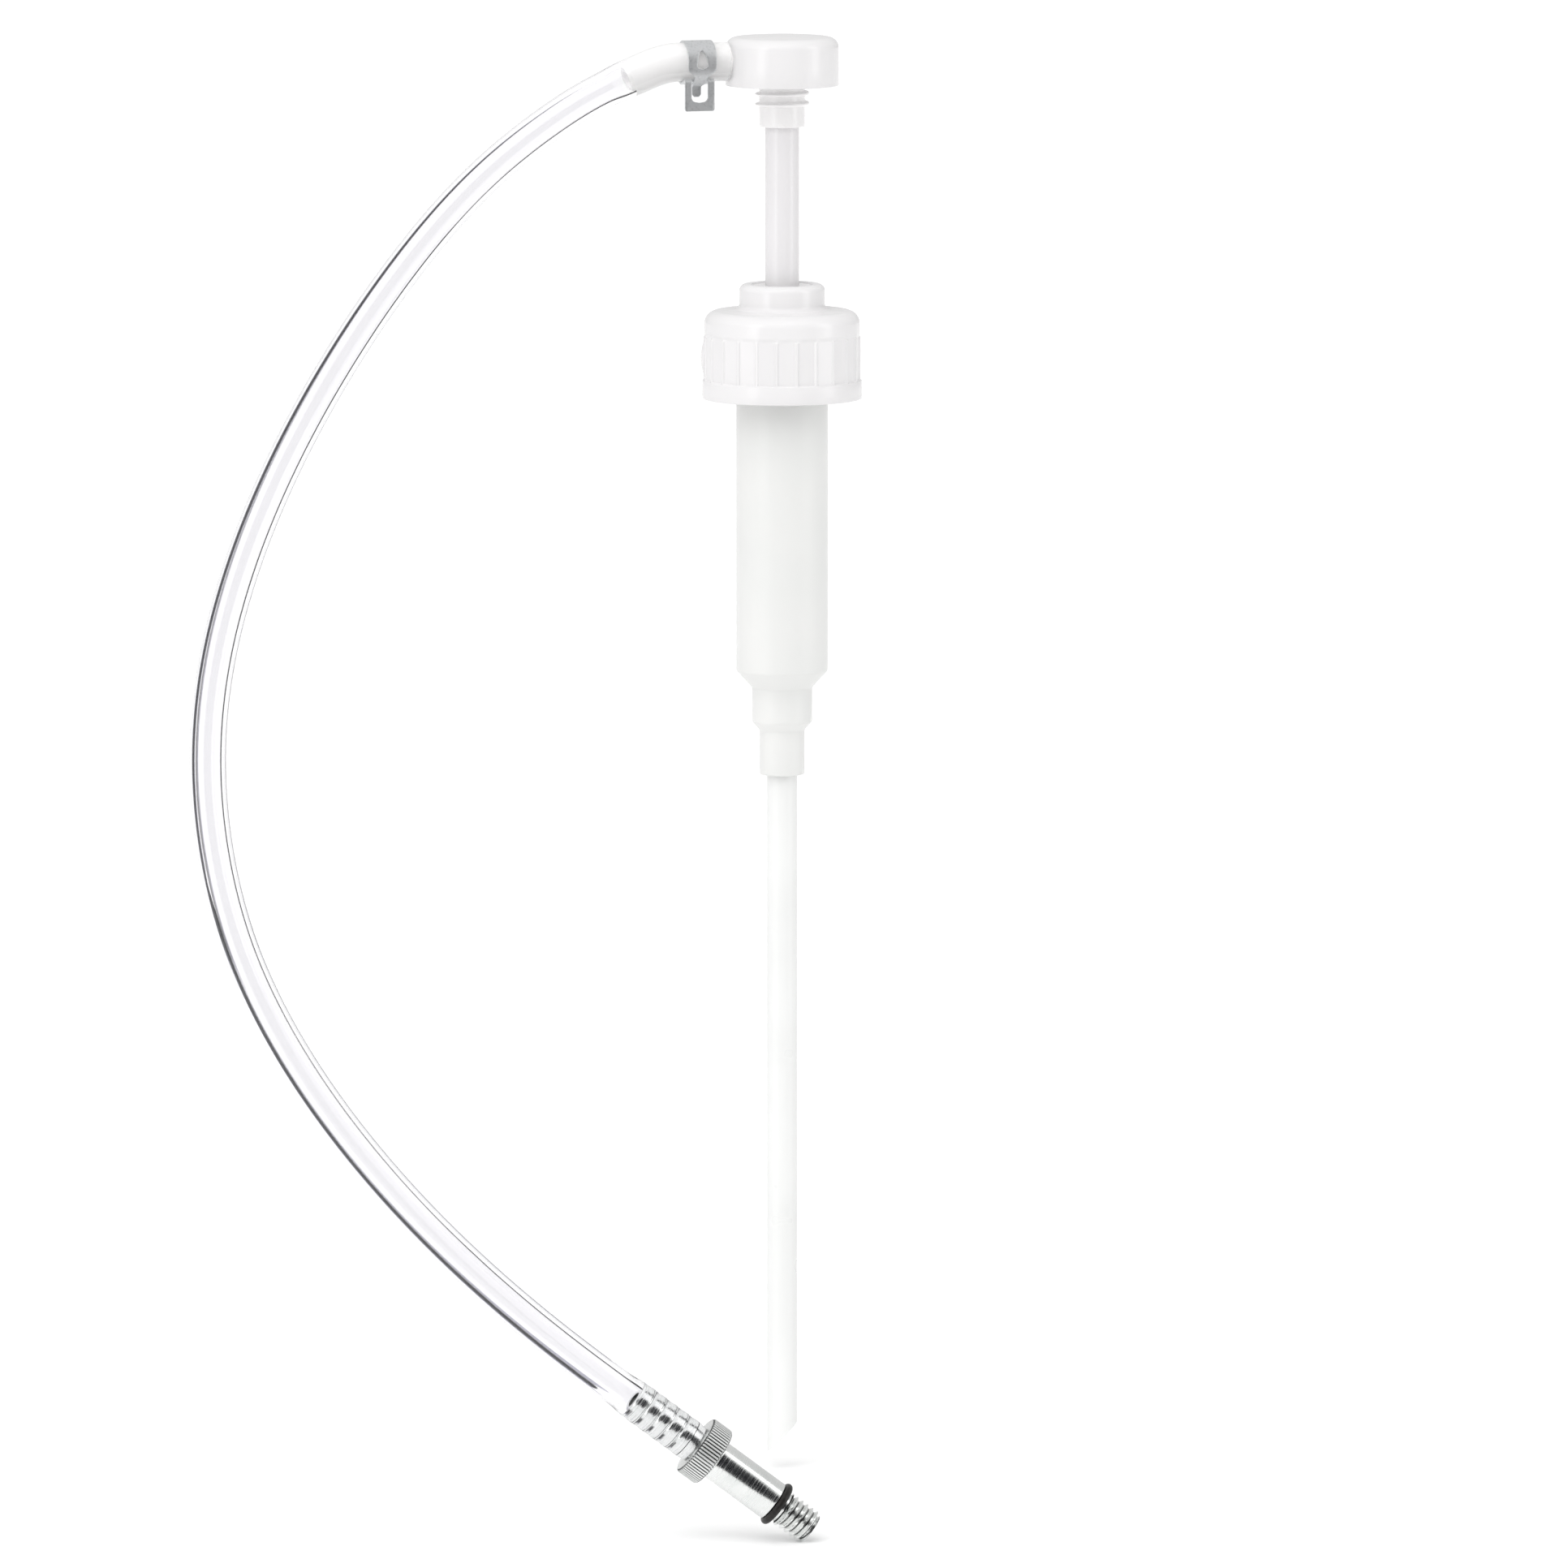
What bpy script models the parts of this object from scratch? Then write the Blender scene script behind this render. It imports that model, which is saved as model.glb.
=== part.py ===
"""Hand pump for gear oil. It screws on the neck of a one-gallon bottle and fills a gearcase through a
delivery hose that ends in a threaded adapter.

All sizes are in millimetres. +Z runs up the axis of the pump, and the origin is the centre of the bottle's
rim, which is the underside of the neck gasket. The spout points to -X, turned a little towards -Y.
The head is up, as the return spring holds it.
"""

import math

import bmesh
import bpy
import numpy as np
from mathutils import Matrix, Vector

MM = 0.001  # metres in a millimetre
GAP = 0.3  # clearance between pieces that touch
LARGE_ROUND = 40  # sides of a large turned piece
SMALL_ROUND = 28  # sides of a small turned piece

# Neck seal and screw cap, for a 38-400 bottle neck
GASKET_THICKNESS = 1.5
GASKET_RADIUS = 18.4
CAP_MOUTH_Z = -17.7
CAP_FLANGE_RADIUS = 21.0
CAP_FLANGE_HEIGHT = 4.6
CAP_RADIUS = 20.35
CAP_INNER_RADIUS = 18.9
CAP_THREAD_RADIUS = 17.9
CAP_ROOF_Z = 3.8
CAP_SHOULDER_Z = 5.3
CAP_SHOULDER_FILLET = 3.4
CAP_SHOULDER_RISE = 0.3
CAP_THREAD_Z = (-3.6, -9.1)
RIB_COUNT = 24
RIB_TOP_Z = -1.2
RIB_WIDTH = 0.8
RIB_HEIGHT = 0.4
RIB_FROM_FRONT = math.radians(-94)  # the first rib, a little left of the -Y side
BOSS_RADIUS = 5.2
BOSS_TOP = 21.35  # from the cap's axis
BOSS_Z = -7.3
BOSS_TURN = math.radians(-6)  # from the -X side towards +Y
TOWER_RADIUS = 11.2
TOWER_TOP_Z = 12.3
TOWER_FOOT_FILLET = 1.2
TOWER_TOP_FILLET = 1.8
TOWER_HOLE_RADIUS = 7.8
TOWER_INNER_RADIUS = 9.3
TOWER_ROOF = 1.4

# Barrel and what is fixed in it
BARREL_RADIUS = 12.0
BARREL_INNER_RADIUS = 10.9
BARREL_FLANGE_RADIUS = 17.8
BARREL_FLANGE_Z = 3.5
CHAMBER_FLOOR_Z = -88.5
VALVE_CHAMBER_RADIUS = 6.2
VALVE_SEAT_Z = -101.5
VALVE_PORT_RADIUS = 2.4
VALVE_PORT_LENGTH = 3.1
VALVE_WALL = 1.7
TUBE_SOCKET_WALL = 1.6
BARREL_END_Z = -117.0
TUBE_SOCKET_RADIUS = 4.3
VENT_Z = -9.0
VENT_RADIUS = 1.0
GUIDE_CUP_RADIUS = 7.35
GUIDE_FLOOR_Z = 1.0
GUIDE_END_Z = -6.0
GUIDE_SKIRT_BORE = 8.0
CAGE_HOLE = 2.8
CAGE_SLOT_HALF = 1.2
CAGE_SLOT_HEIGHT = 2.2
LOCK_THREAD_RADIUS = 6.45
INLET_BALL_RADIUS = 3.5
INLET_BALL_LIFT = 2.0
DIP_TUBE_RADIUS = 3.95
DIP_TUBE_BORE = 2.9
DIP_TUBE_END_Z = -298.0

# Stem, piston and spring
STEM_RADIUS = 4.45
STEM_BORE = 2.9
STEM_TOP_Z = 67.9
STEM_END_Z = -15.0
STEM_HOLE_RADIUS = STEM_RADIUS + GAP
PISTON_TOP_Z = -7.2
PISTON_END_Z = -22.0
SEAL_TOP_Z = -12.0
SEAL_BOTTOM_Z = -20.0
SEAL_BODY_RADIUS = 9.0
SEAL_LIP_RADIUS = 10.65
PISTON_CORE_RADIUS = 5.9
PISTON_FLANGE_RADIUS = 8.5
OUTLET_PORT_RADIUS = 1.9
OUTLET_PORT_LENGTH = 2.7
PISTON_BORE = 3.2
RETAINER_BORE = 1.4
RETAINER_LENGTH = 4.0
OUTLET_BALL_RADIUS = 2.4
OUTLET_BALL_LIFT = 2.0
SPRING_RADIUS = 7.1
SPRING_WIRE_RADIUS = 0.65
SPRING_OPEN_TURNS = 8
SPRING_DEAD_TURNS = 1
SPRING_STEPS = 12  # a turn
SPRING_SEAT_RADIUS = 9.0
SPRING_SEAT_Z = -86.9

# Head, lock collar and spout
HEAD_RADIUS = 14.8
HEAD_BOTTOM_Z = 64.2
HEAD_TOP_Z = 76.8
HEAD_CROWN = 0.65
HEAD_FILLET = 2.8
HEAD_WALL = 1.6
HEAD_ROOF = 2.0
HEAD_HUB_RADIUS = 7.6
COLLAR_BOTTOM_Z = 53.4
COLLAR_CORE_RADIUS = 6.0
COLLAR_CREST_RADIUS = 7.0
COLLAR_CREST_Z = (59.4, 62.0)
SPOUT_TURN = math.radians(17)
SPOUT_Z = 70.7
SPOUT_RADIUS = 3.65
SPOUT_BORE = 2.3
SPOUT_STEPS = 3  # steps of the hose's route that the spout fills
CLAMP_DISTANCE = 23.2  # from the pump's axis to the middle of the clamp
CLAMP_WIDTH = 8.0
CLAMP_INNER_RADIUS = 5.0
CLAMP_THICKNESS = 0.7
CLAMP_TAB_WIDTH = 8.0
CLAMP_TAB_DROP = 6.8
CLAMP_TAB_FORWARD = 3.9  # from the hose's axis towards the front
CLAMP_WINDOW_DROP = 1.6
CLAMP_WINDOW_SILL = 2.3

# Adapter on the hose's end. Its lengths run back from the thread's tip.
TIP = Vector((7.4, -96.0, -299.6))
TIP_DIRECTION = Vector((0.7953, 0.0603, -0.6032)).normalized()
THREAD_RADIUS = 4.7
THREAD_ROOT_RADIUS = 3.9
THREAD_PITCH = 1.5875
THREAD_TURNS = 5
THREAD_LENGTH = 9.3
ADAPTER_BORE = 2.0
ADAPTER_RADIUS = 5.3
ADAPTER_SHOULDER = 12.1
ADAPTER_END = 30.9
RING_DISTANCE = 10.85
RING_RADIUS = 5.15
RING_SECTION = 0.95
KNURL_START = 31.2
KNURL_END = 37.3
KNURL_RADIUS = 8.25
BARB_END = 57.1
BARB_COUNT = 5
BARB_ROOT_RADIUS = 3.2
BARB_CREST_RADIUS = 3.75
BARB_BORE = 2.2
SPIGOT_RADIUS = 3.3
SPIGOT_START = 24.0
EDGE = 0.5  # chamfer on the adapter's edges

# Delivery hose, 3/8 inch outside and 1/4 inch inside
HOSE_RADIUS = 4.7625
HOSE_STEP = 9.5
HOSE_LEAD = (15.1, 22.5, 30.0)  # straight out along the spout, from the pump's axis
SPOUT_DIRECTION = Vector((-math.cos(SPOUT_TURN), -math.sin(SPOUT_TURN), 0))
HOSE_BEND = [
    (-38.6, -11.8, 67.4),
    (-47.0, -14.6, 63.7),
    (-59.5, -19.0, 56.3),
    (-75.4, -25.0, 44.0),
    (-97.7, -35.2, 19.6),
    (-114.5, -44.6, -4.7),
    (-128.0, -53.2, -29.0),
    (-138.2, -61.0, -53.3),
    (-144.8, -68.0, -77.6),
    (-147.2, -74.4, -102.0),
    (-145.1, -80.0, -126.5),
    (-138.5, -85.3, -151.0),
    (-126.6, -90.1, -175.3),
    (-109.2, -94.3, -200.0),
    (-86.8, -97.8, -224.5),
    (-58.4, -100.2, -249.4),
]


# --- helpers -----------------------------------------------------------------------------------------


def clear_scene():
    for thing in list(bpy.data.objects):
        bpy.data.objects.remove(thing, do_unlink=True)


def material(name, colour, roughness, metallic=0.0, transmission=0.0):
    made = bpy.data.materials.new(name)
    made.use_nodes = True
    shader = made.node_tree.nodes["Principled BSDF"]
    shader.inputs["Base Color"].default_value = (*colour, 1.0)
    shader.inputs["Roughness"].default_value = roughness
    shader.inputs["Metallic"].default_value = metallic
    shader.inputs["Transmission Weight"].default_value = transmission
    return made


def add(name, mesh, surface=None, parent=None):
    made = bpy.data.objects.new(name, mesh)
    bpy.context.scene.collection.objects.link(made)
    if surface:
        mesh.materials.append(surface)
    made.parent = parent
    return made


def frame_at(name, parent=None, place=(0, 0, 0), direction=None):
    """An empty on a joint's or a fitting's axis, with its +Z along the direction where one is given."""
    made = add(name, None, parent=parent)
    turn = direction.to_track_quat("Z", "Y").to_matrix().to_4x4() if direction else Matrix()
    made.matrix_world = Matrix.Translation(Vector(place) * MM) @ turn
    return made


def arc(centre, radius, start, end, steps):
    """Points on a round corner of a profile, from one angle to another, in degrees."""
    turn = [math.radians(start + (end - start) * i / steps) for i in range(steps + 1)]
    return [(centre[0] + radius * math.cos(a), centre[1] + radius * math.sin(a)) for a in turn]


def turned_mesh(name, profile, sides=SMALL_ROUND):
    """A solid turned about Z from its closed outline, given as (radius, height) points."""
    shape = bmesh.new()
    corners = [shape.verts.new((r * MM, 0, z * MM)) for r, z in profile]
    edges = [shape.edges.new((a, b)) for a, b in zip(corners, corners[1:] + corners[:1])]
    bmesh.ops.spin(
        shape,
        geom=corners + edges,
        cent=(0, 0, 0),
        axis=(0, 0, 1),
        angle=math.tau,
        steps=sides,
        use_merge=True,
    )
    bmesh.ops.remove_doubles(shape, verts=shape.verts, dist=0.00001)
    bmesh.ops.dissolve_degenerate(shape, edges=shape.edges, dist=0.00001)
    bmesh.ops.recalc_face_normals(shape, faces=shape.faces)
    mesh = bpy.data.meshes.new(name)
    shape.to_mesh(mesh)
    shape.free()
    mesh.shade_smooth()
    mesh.set_sharp_from_angle(angle=math.radians(30))
    return mesh


def turned(name, profile, surface=None, parent=None, sides=SMALL_ROUND):
    return add(name, turned_mesh(name, profile, sides), surface, parent)


def cylinder(name, radius, bottom, top, parent=None, sides=SMALL_ROUND):
    return turned(name, [(0, bottom), (radius, bottom), (radius, top), (0, top)], None, parent, sides)


def block(name, low, high, parent=None):
    """A box between two corners."""
    shape = bmesh.new()
    bmesh.ops.create_cube(shape, size=MM)
    size = Vector(high) - Vector(low)
    middle = (Vector(high) + Vector(low)) * 0.5 * MM
    shape.transform(Matrix.Translation(middle) @ Matrix.Diagonal((*size, 1)))
    mesh = bpy.data.meshes.new(name)
    shape.to_mesh(mesh)
    shape.free()
    return add(name, mesh, None, parent)


def ball(name, radius, height, surface, parent):
    shape = bmesh.new()
    bmesh.ops.create_icosphere(shape, subdivisions=3, radius=radius * MM)
    mesh = bpy.data.meshes.new(name)
    shape.to_mesh(mesh)
    shape.free()
    mesh.shade_smooth()
    made = add(name, mesh, surface, parent)
    made.location.z = height * MM
    return made


def cut(target, helper, operation="DIFFERENCE"):
    """A Boolean with a helper object, which isn't part of the pump itself."""
    helper.hide_render = True
    helper.display_type = "WIRE"
    step = target.modifiers.new(f"{operation.lower()} {helper.name}", "BOOLEAN")
    step.operation = operation
    step.object = helper
    step.solver = "EXACT"


def round_bar(name, points, radius, resolution=4):
    """A curve along the points with a round section and closed ends."""
    line = bpy.data.curves.new(name, "CURVE")
    line.dimensions = "3D"
    line.bevel_depth = radius * MM
    line.bevel_resolution = resolution
    line.use_fill_caps = True
    spline = line.splines.new("POLY")
    spline.points.add(len(points) - 1)
    for knot, point in zip(spline.points, points):
        knot.co = (*(Vector(point) * MM), 1)
    return add(name, line)


def bar_mesh(name, points, radius, surface=None, parent=None, resolution=4):
    """The same bar as a mesh, for Booleans."""
    line = round_bar(name + "_line", points, radius, resolution)
    bpy.context.view_layer.update()
    mesh = bpy.data.meshes.new_from_object(line.evaluated_get(bpy.context.evaluated_depsgraph_get()))
    bpy.data.objects.remove(line, do_unlink=True)
    shape = bmesh.new()
    shape.from_mesh(mesh)
    bmesh.ops.remove_doubles(shape, verts=shape.verts, dist=0.00001)
    bmesh.ops.recalc_face_normals(shape, faces=shape.faces)
    shape.to_mesh(mesh)
    shape.free()
    mesh.shade_smooth()
    mesh.set_sharp_from_angle(angle=math.radians(40))
    return add(name, mesh, surface, parent)


def smooth_route(points, start, end, step):
    """Evenly spaced points on the cubic spline through the points, with its two end directions given."""
    knots = np.array([tuple(p) for p in points], float)
    span = np.linalg.norm(np.diff(knots, axis=0), axis=1)
    count = len(knots)
    system = np.zeros((count, count))
    right = np.zeros((count, 3))
    system[0, 0] = system[-1, -1] = 1
    right[0], right[-1] = tuple(start), tuple(end)
    for i in range(1, count - 1):
        before, after = span[i - 1], span[i]
        system[i, i - 1 : i + 2] = after, 2 * (before + after), before
        pull = after * (knots[i] - knots[i - 1]) / before + before * (knots[i + 1] - knots[i]) / after
        right[i] = 3 * pull
    slope = np.linalg.solve(system, right)
    t = np.linspace(0, 1, 40, endpoint=False)[:, None]
    fine = [
        (2 * t**3 - 3 * t**2 + 1) * knots[i]
        + (t**3 - 2 * t**2 + t) * span[i] * slope[i]
        + (3 * t**2 - 2 * t**3) * knots[i + 1]
        + (t**3 - t**2) * span[i] * slope[i + 1]
        for i in range(count - 1)
    ]
    fine = np.vstack([*fine, knots[-1:]])
    along = np.concatenate([[0], np.cumsum(np.linalg.norm(np.diff(fine, axis=0), axis=1))])
    wanted = np.linspace(0, along[-1], round(along[-1] / step) + 1)
    return [Vector([np.interp(w, along, fine[:, k]) for k in range(3)]) for w in wanted]


def hose_route():
    """The middle line of the hose, from the head's side to the knurled collar."""
    lead = [SPOUT_DIRECTION * r + Vector((0, 0, SPOUT_Z)) for r in HOSE_LEAD]
    last = [TIP - TIP_DIRECTION * back for back in (BARB_END, KNURL_END + GAP)]
    return smooth_route([*lead, *HOSE_BEND, *last], SPOUT_DIRECTION, TIP_DIRECTION, HOSE_STEP)


# --- materials ---------------------------------------------------------------------------------------

clear_scene()

WHITE = material("white_polypropylene", (0.86, 0.86, 0.86), 0.35)
NATURAL = material("natural_polypropylene", (0.80, 0.80, 0.77), 0.4, transmission=0.3)
STEM_WHITE = material("stem_polypropylene", (0.80, 0.79, 0.80), 0.3)
FOAM = material("foam_gasket", (0.85, 0.85, 0.83), 0.9)
SEAL = material("soft_seal", (0.75, 0.76, 0.78), 0.5)
TUBE = material("polyethylene_tube", (0.82, 0.82, 0.80), 0.35, transmission=0.4)
VINYL = material("clear_vinyl", (0.93, 0.92, 0.95), 0.08, transmission=0.9)
ZINC = material("zinc_plated_steel", (0.75, 0.75, 0.77), 0.18, metallic=1.0)
GALVANISED = material("galvanised_strip", (0.55, 0.56, 0.57), 0.4, metallic=1.0)
STAINLESS = material("stainless_steel", (0.65, 0.65, 0.66), 0.2, metallic=1.0)
NITRILE = material("nitrile_rubber", (0.03, 0.027, 0.025), 0.5)

# --- joint axes --------------------------------------------------------------------------------------

cap_axis = frame_at("cap_axis")
swivel_axis = frame_at("swivel_axis")  # the head, stem and hose turn together
plunger = frame_at("plunger", swivel_axis)  # slides down the same axis when the head is pressed
hose_end = frame_at("hose_end", swivel_axis, TIP, TIP_DIRECTION)

# --- neck gasket, barrel and dip tube ----------------------------------------------------------------

gasket = turned(
    "neck_gasket",
    [
        (BARREL_RADIUS + GAP, 0),
        (GASKET_RADIUS, 0),
        (GASKET_RADIUS, GASKET_THICKNESS),
        (BARREL_RADIUS + GAP, GASKET_THICKNESS),
    ],
    FOAM,
    sides=LARGE_ROUND,
)

flange_underside = GASKET_THICKNESS + GAP
throat_radius = VALVE_CHAMBER_RADIUS + VALVE_WALL
socket_outer = TUBE_SOCKET_RADIUS + TUBE_SOCKET_WALL
socket_top = VALVE_SEAT_Z - VALVE_PORT_LENGTH
barrel = turned(
    "pump_barrel",
    [
        (BARREL_INNER_RADIUS, BARREL_FLANGE_Z),
        (BARREL_INNER_RADIUS, CHAMBER_FLOOR_Z),
        (VALVE_CHAMBER_RADIUS, CHAMBER_FLOOR_Z),
        (VALVE_CHAMBER_RADIUS, VALVE_SEAT_Z),
        (VALVE_PORT_RADIUS, VALVE_SEAT_Z),
        (VALVE_PORT_RADIUS, socket_top),
        (TUBE_SOCKET_RADIUS, socket_top),
        (TUBE_SOCKET_RADIUS, BARREL_END_Z),
        (socket_outer, BARREL_END_Z),
        (socket_outer, VALVE_SEAT_Z - 3.5),
        (throat_radius, VALVE_SEAT_Z - 1.5),
        (throat_radius, CHAMBER_FLOOR_Z - 5.5),
        (BARREL_RADIUS, CHAMBER_FLOOR_Z - 1.0),
        (BARREL_RADIUS, flange_underside),
        (BARREL_FLANGE_RADIUS, flange_underside),
        (BARREL_FLANGE_RADIUS, BARREL_FLANGE_Z),
    ],
    NATURAL,
    sides=LARGE_ROUND,
)
vent = cylinder("vent_cutter", VENT_RADIUS, BARREL_INNER_RADIUS - 2, BARREL_RADIUS + 2, sides=12)
vent.rotation_euler = (0, math.radians(90), 0)
vent.location.z = VENT_Z * MM
cut(barrel, vent)

dip_top = socket_top - GAP
dip_tube = turned(
    "dip_tube",
    [
        (DIP_TUBE_BORE, DIP_TUBE_END_Z),
        (DIP_TUBE_RADIUS, DIP_TUBE_END_Z),
        (DIP_TUBE_RADIUS, dip_top),
        (DIP_TUBE_BORE, dip_top),
    ],
    TUBE,
)
for corner in dip_tube.data.vertices:
    if corner.co.z < (DIP_TUBE_END_Z + 1) * MM:
        corner.co.z += corner.co.x + DIP_TUBE_RADIUS * MM  # the end is cut at 45 degrees

# --- stem guide and wiper ----------------------------------------------------------------------------

guide_outer = BARREL_INNER_RADIUS - GAP
cup_outer = TOWER_INNER_RADIUS - GAP
cup_top = TOWER_TOP_Z - TOWER_ROOF - GAP
wiper_seat_z = GUIDE_FLOOR_Z - 2.0
guide = turned(
    "stem_guide",
    [
        (guide_outer, GUIDE_END_Z),
        (guide_outer, CAP_ROOF_Z - 0.4),
        (cup_outer, CAP_ROOF_Z - 0.4),
        (cup_outer, cup_top),
        (GUIDE_CUP_RADIUS, cup_top),
        (GUIDE_CUP_RADIUS, cup_top - 0.5),
        (LOCK_THREAD_RADIUS, cup_top - 0.9),
        (LOCK_THREAD_RADIUS, cup_top - 1.7),
        (GUIDE_CUP_RADIUS, cup_top - 2.1),
        (GUIDE_CUP_RADIUS, GUIDE_FLOOR_Z),
        (STEM_HOLE_RADIUS, GUIDE_FLOOR_Z),
        (STEM_HOLE_RADIUS, wiper_seat_z),
        (GUIDE_SKIRT_BORE, wiper_seat_z),
        (GUIDE_SKIRT_BORE, GUIDE_END_Z),
    ],
    NATURAL,
    sides=LARGE_ROUND,
)
wiper = turned(
    "stem_wiper",
    [
        (STEM_RADIUS + 0.2, wiper_seat_z - GAP),
        (STEM_RADIUS + 0.2, wiper_seat_z - 1.0),
        (STEM_RADIUS + 1.2, wiper_seat_z - 1.6),
        (STEM_RADIUS + 0.2, wiper_seat_z - 3.4),
        (STEM_RADIUS + 0.9, wiper_seat_z - 3.4),
        (GUIDE_SKIRT_BORE - GAP, wiper_seat_z - 2.0),
        (GUIDE_SKIRT_BORE - GAP, wiper_seat_z - GAP),
    ],
    SEAL,
)

# --- inlet valve and return spring -------------------------------------------------------------------

inlet_ball_z = VALVE_SEAT_Z + math.sqrt(INLET_BALL_RADIUS**2 - VALVE_PORT_RADIUS**2) + GAP
inlet_ball = ball("inlet_ball", INLET_BALL_RADIUS, inlet_ball_z, STAINLESS, None)

cage_bottom = inlet_ball_z + INLET_BALL_RADIUS + INLET_BALL_LIFT + GAP
cage_outer = VALVE_CHAMBER_RADIUS - GAP
cage = turned(
    "inlet_valve_cage",
    [
        (CAGE_HOLE, cage_bottom),
        (cage_outer, cage_bottom),
        (cage_outer, CHAMBER_FLOOR_Z + GAP),
        (SPRING_SEAT_RADIUS, CHAMBER_FLOOR_Z + GAP),
        (SPRING_SEAT_RADIUS, SPRING_SEAT_Z),
        (CAGE_HOLE, SPRING_SEAT_Z),
    ],
    NATURAL,
)
slot_top = cage_bottom + CAGE_SLOT_HEIGHT
for number, (half_x, half_y) in enumerate(((10, CAGE_SLOT_HALF), (CAGE_SLOT_HALF, 10))):
    slot = block(
        f"cage_slot_cutter_{number}", (-half_x, -half_y, cage_bottom - 1), (half_x, half_y, slot_top)
    )
    cut(cage, slot)

spring_bottom = SPRING_SEAT_Z + GAP + SPRING_WIRE_RADIUS
spring_top = PISTON_END_Z - GAP - SPRING_WIRE_RADIUS
dead_rise = 2 * SPRING_WIRE_RADIUS + 0.15
turns = SPRING_OPEN_TURNS + 2 * SPRING_DEAD_TURNS
coil = []
for i in range(turns * SPRING_STEPS + 1):
    turn = i / SPRING_STEPS
    lower = min(turn, SPRING_DEAD_TURNS)
    upper = max(turn - SPRING_DEAD_TURNS - SPRING_OPEN_TURNS, 0)
    open_rise = (spring_top - spring_bottom - 2 * SPRING_DEAD_TURNS * dead_rise) / SPRING_OPEN_TURNS
    height = spring_bottom + (lower + upper) * dead_rise + (turn - lower - upper) * open_rise
    angle = math.tau * turn
    coil.append((SPRING_RADIUS * math.cos(angle), SPRING_RADIUS * math.sin(angle), height))
spring = bar_mesh("return_spring", coil, SPRING_WIRE_RADIUS, STAINLESS, resolution=1)

# --- screw cap ---------------------------------------------------------------------------------------

fillet_centre = CAP_RADIUS - CAP_SHOULDER_FILLET
foot_centre = TOWER_RADIUS + TOWER_FOOT_FILLET
foot_height = CAP_SHOULDER_Z + CAP_SHOULDER_RISE + TOWER_FOOT_FILLET
flange_top = CAP_MOUTH_Z + CAP_FLANGE_HEIGHT
thread_ridges = []
for middle in CAP_THREAD_Z:
    thread_ridges += [
        (CAP_INNER_RADIUS, middle + 1.1),
        (CAP_THREAD_RADIUS, middle + 0.4),
        (CAP_THREAD_RADIUS, middle - 0.4),
        (CAP_INNER_RADIUS, middle - 1.1),
    ]
cap = turned(
    "screw_cap",
    [
        (CAP_INNER_RADIUS, CAP_MOUTH_Z),
        (CAP_FLANGE_RADIUS, CAP_MOUTH_Z),
        (CAP_FLANGE_RADIUS - 0.15, flange_top),
        (CAP_RADIUS, flange_top),
        *arc((fillet_centre, CAP_SHOULDER_Z - CAP_SHOULDER_FILLET), CAP_SHOULDER_FILLET, 0, 88, 5),
        *arc((foot_centre, foot_height), TOWER_FOOT_FILLET, 270, 180, 3),
        *arc((TOWER_RADIUS - TOWER_TOP_FILLET, TOWER_TOP_Z - TOWER_TOP_FILLET), TOWER_TOP_FILLET, 0, 90, 4),
        (TOWER_HOLE_RADIUS, TOWER_TOP_Z),
        (TOWER_HOLE_RADIUS, TOWER_TOP_Z - TOWER_ROOF),
        (TOWER_INNER_RADIUS, TOWER_TOP_Z - TOWER_ROOF),
        (TOWER_INNER_RADIUS, CAP_ROOF_Z),
        (CAP_INNER_RADIUS, CAP_ROOF_Z),
        *thread_ridges,
    ],
    WHITE,
    cap_axis,
    LARGE_ROUND,
)
for number in range(RIB_COUNT):
    rib = block(
        f"cap_rib_{number:02d}",
        (CAP_RADIUS - 0.6, -RIB_WIDTH / 2, flange_top - 0.5),
        (CAP_RADIUS + RIB_HEIGHT, RIB_WIDTH / 2, RIB_TOP_Z),
        cap_axis,
    )
    rib.rotation_euler.z = RIB_FROM_FRONT + math.tau * number / RIB_COUNT
    cut(cap, rib, "UNION")
boss = cylinder("cap_boss", BOSS_RADIUS, CAP_INNER_RADIUS + 0.7, BOSS_TOP, cap_axis)
boss.rotation_euler = (0, math.radians(-90), BOSS_TURN)
boss.location.z = BOSS_Z * MM
cut(cap, boss, "UNION")

# --- plunger: stem, piston, seal and outlet valve ----------------------------------------------------

stem = turned(
    "plunger_stem",
    [(STEM_BORE, STEM_END_Z), (STEM_RADIUS, STEM_END_Z), (STEM_RADIUS, STEM_TOP_Z), (STEM_BORE, STEM_TOP_Z)],
    STEM_WHITE,
    plunger,
)

web_top = STEM_END_Z - GAP
port_bottom = web_top - OUTLET_PORT_LENGTH
piston = turned(
    "piston",
    [
        (STEM_HOLE_RADIUS, PISTON_TOP_Z),
        (PISTON_CORE_RADIUS, PISTON_TOP_Z),
        (PISTON_CORE_RADIUS, SEAL_TOP_Z + 1.5),
        (PISTON_FLANGE_RADIUS, SEAL_TOP_Z + 1.5),
        (PISTON_FLANGE_RADIUS, SEAL_TOP_Z),
        (PISTON_CORE_RADIUS, SEAL_TOP_Z),
        (PISTON_CORE_RADIUS, SEAL_BOTTOM_Z),
        (PISTON_FLANGE_RADIUS, SEAL_BOTTOM_Z),
        (PISTON_FLANGE_RADIUS, PISTON_END_Z),
        (PISTON_BORE, PISTON_END_Z),
        (PISTON_BORE, port_bottom),
        (OUTLET_PORT_RADIUS, port_bottom),
        (OUTLET_PORT_RADIUS, web_top),
        (STEM_HOLE_RADIUS, web_top),
    ],
    NATURAL,
    plunger,
)

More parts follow.
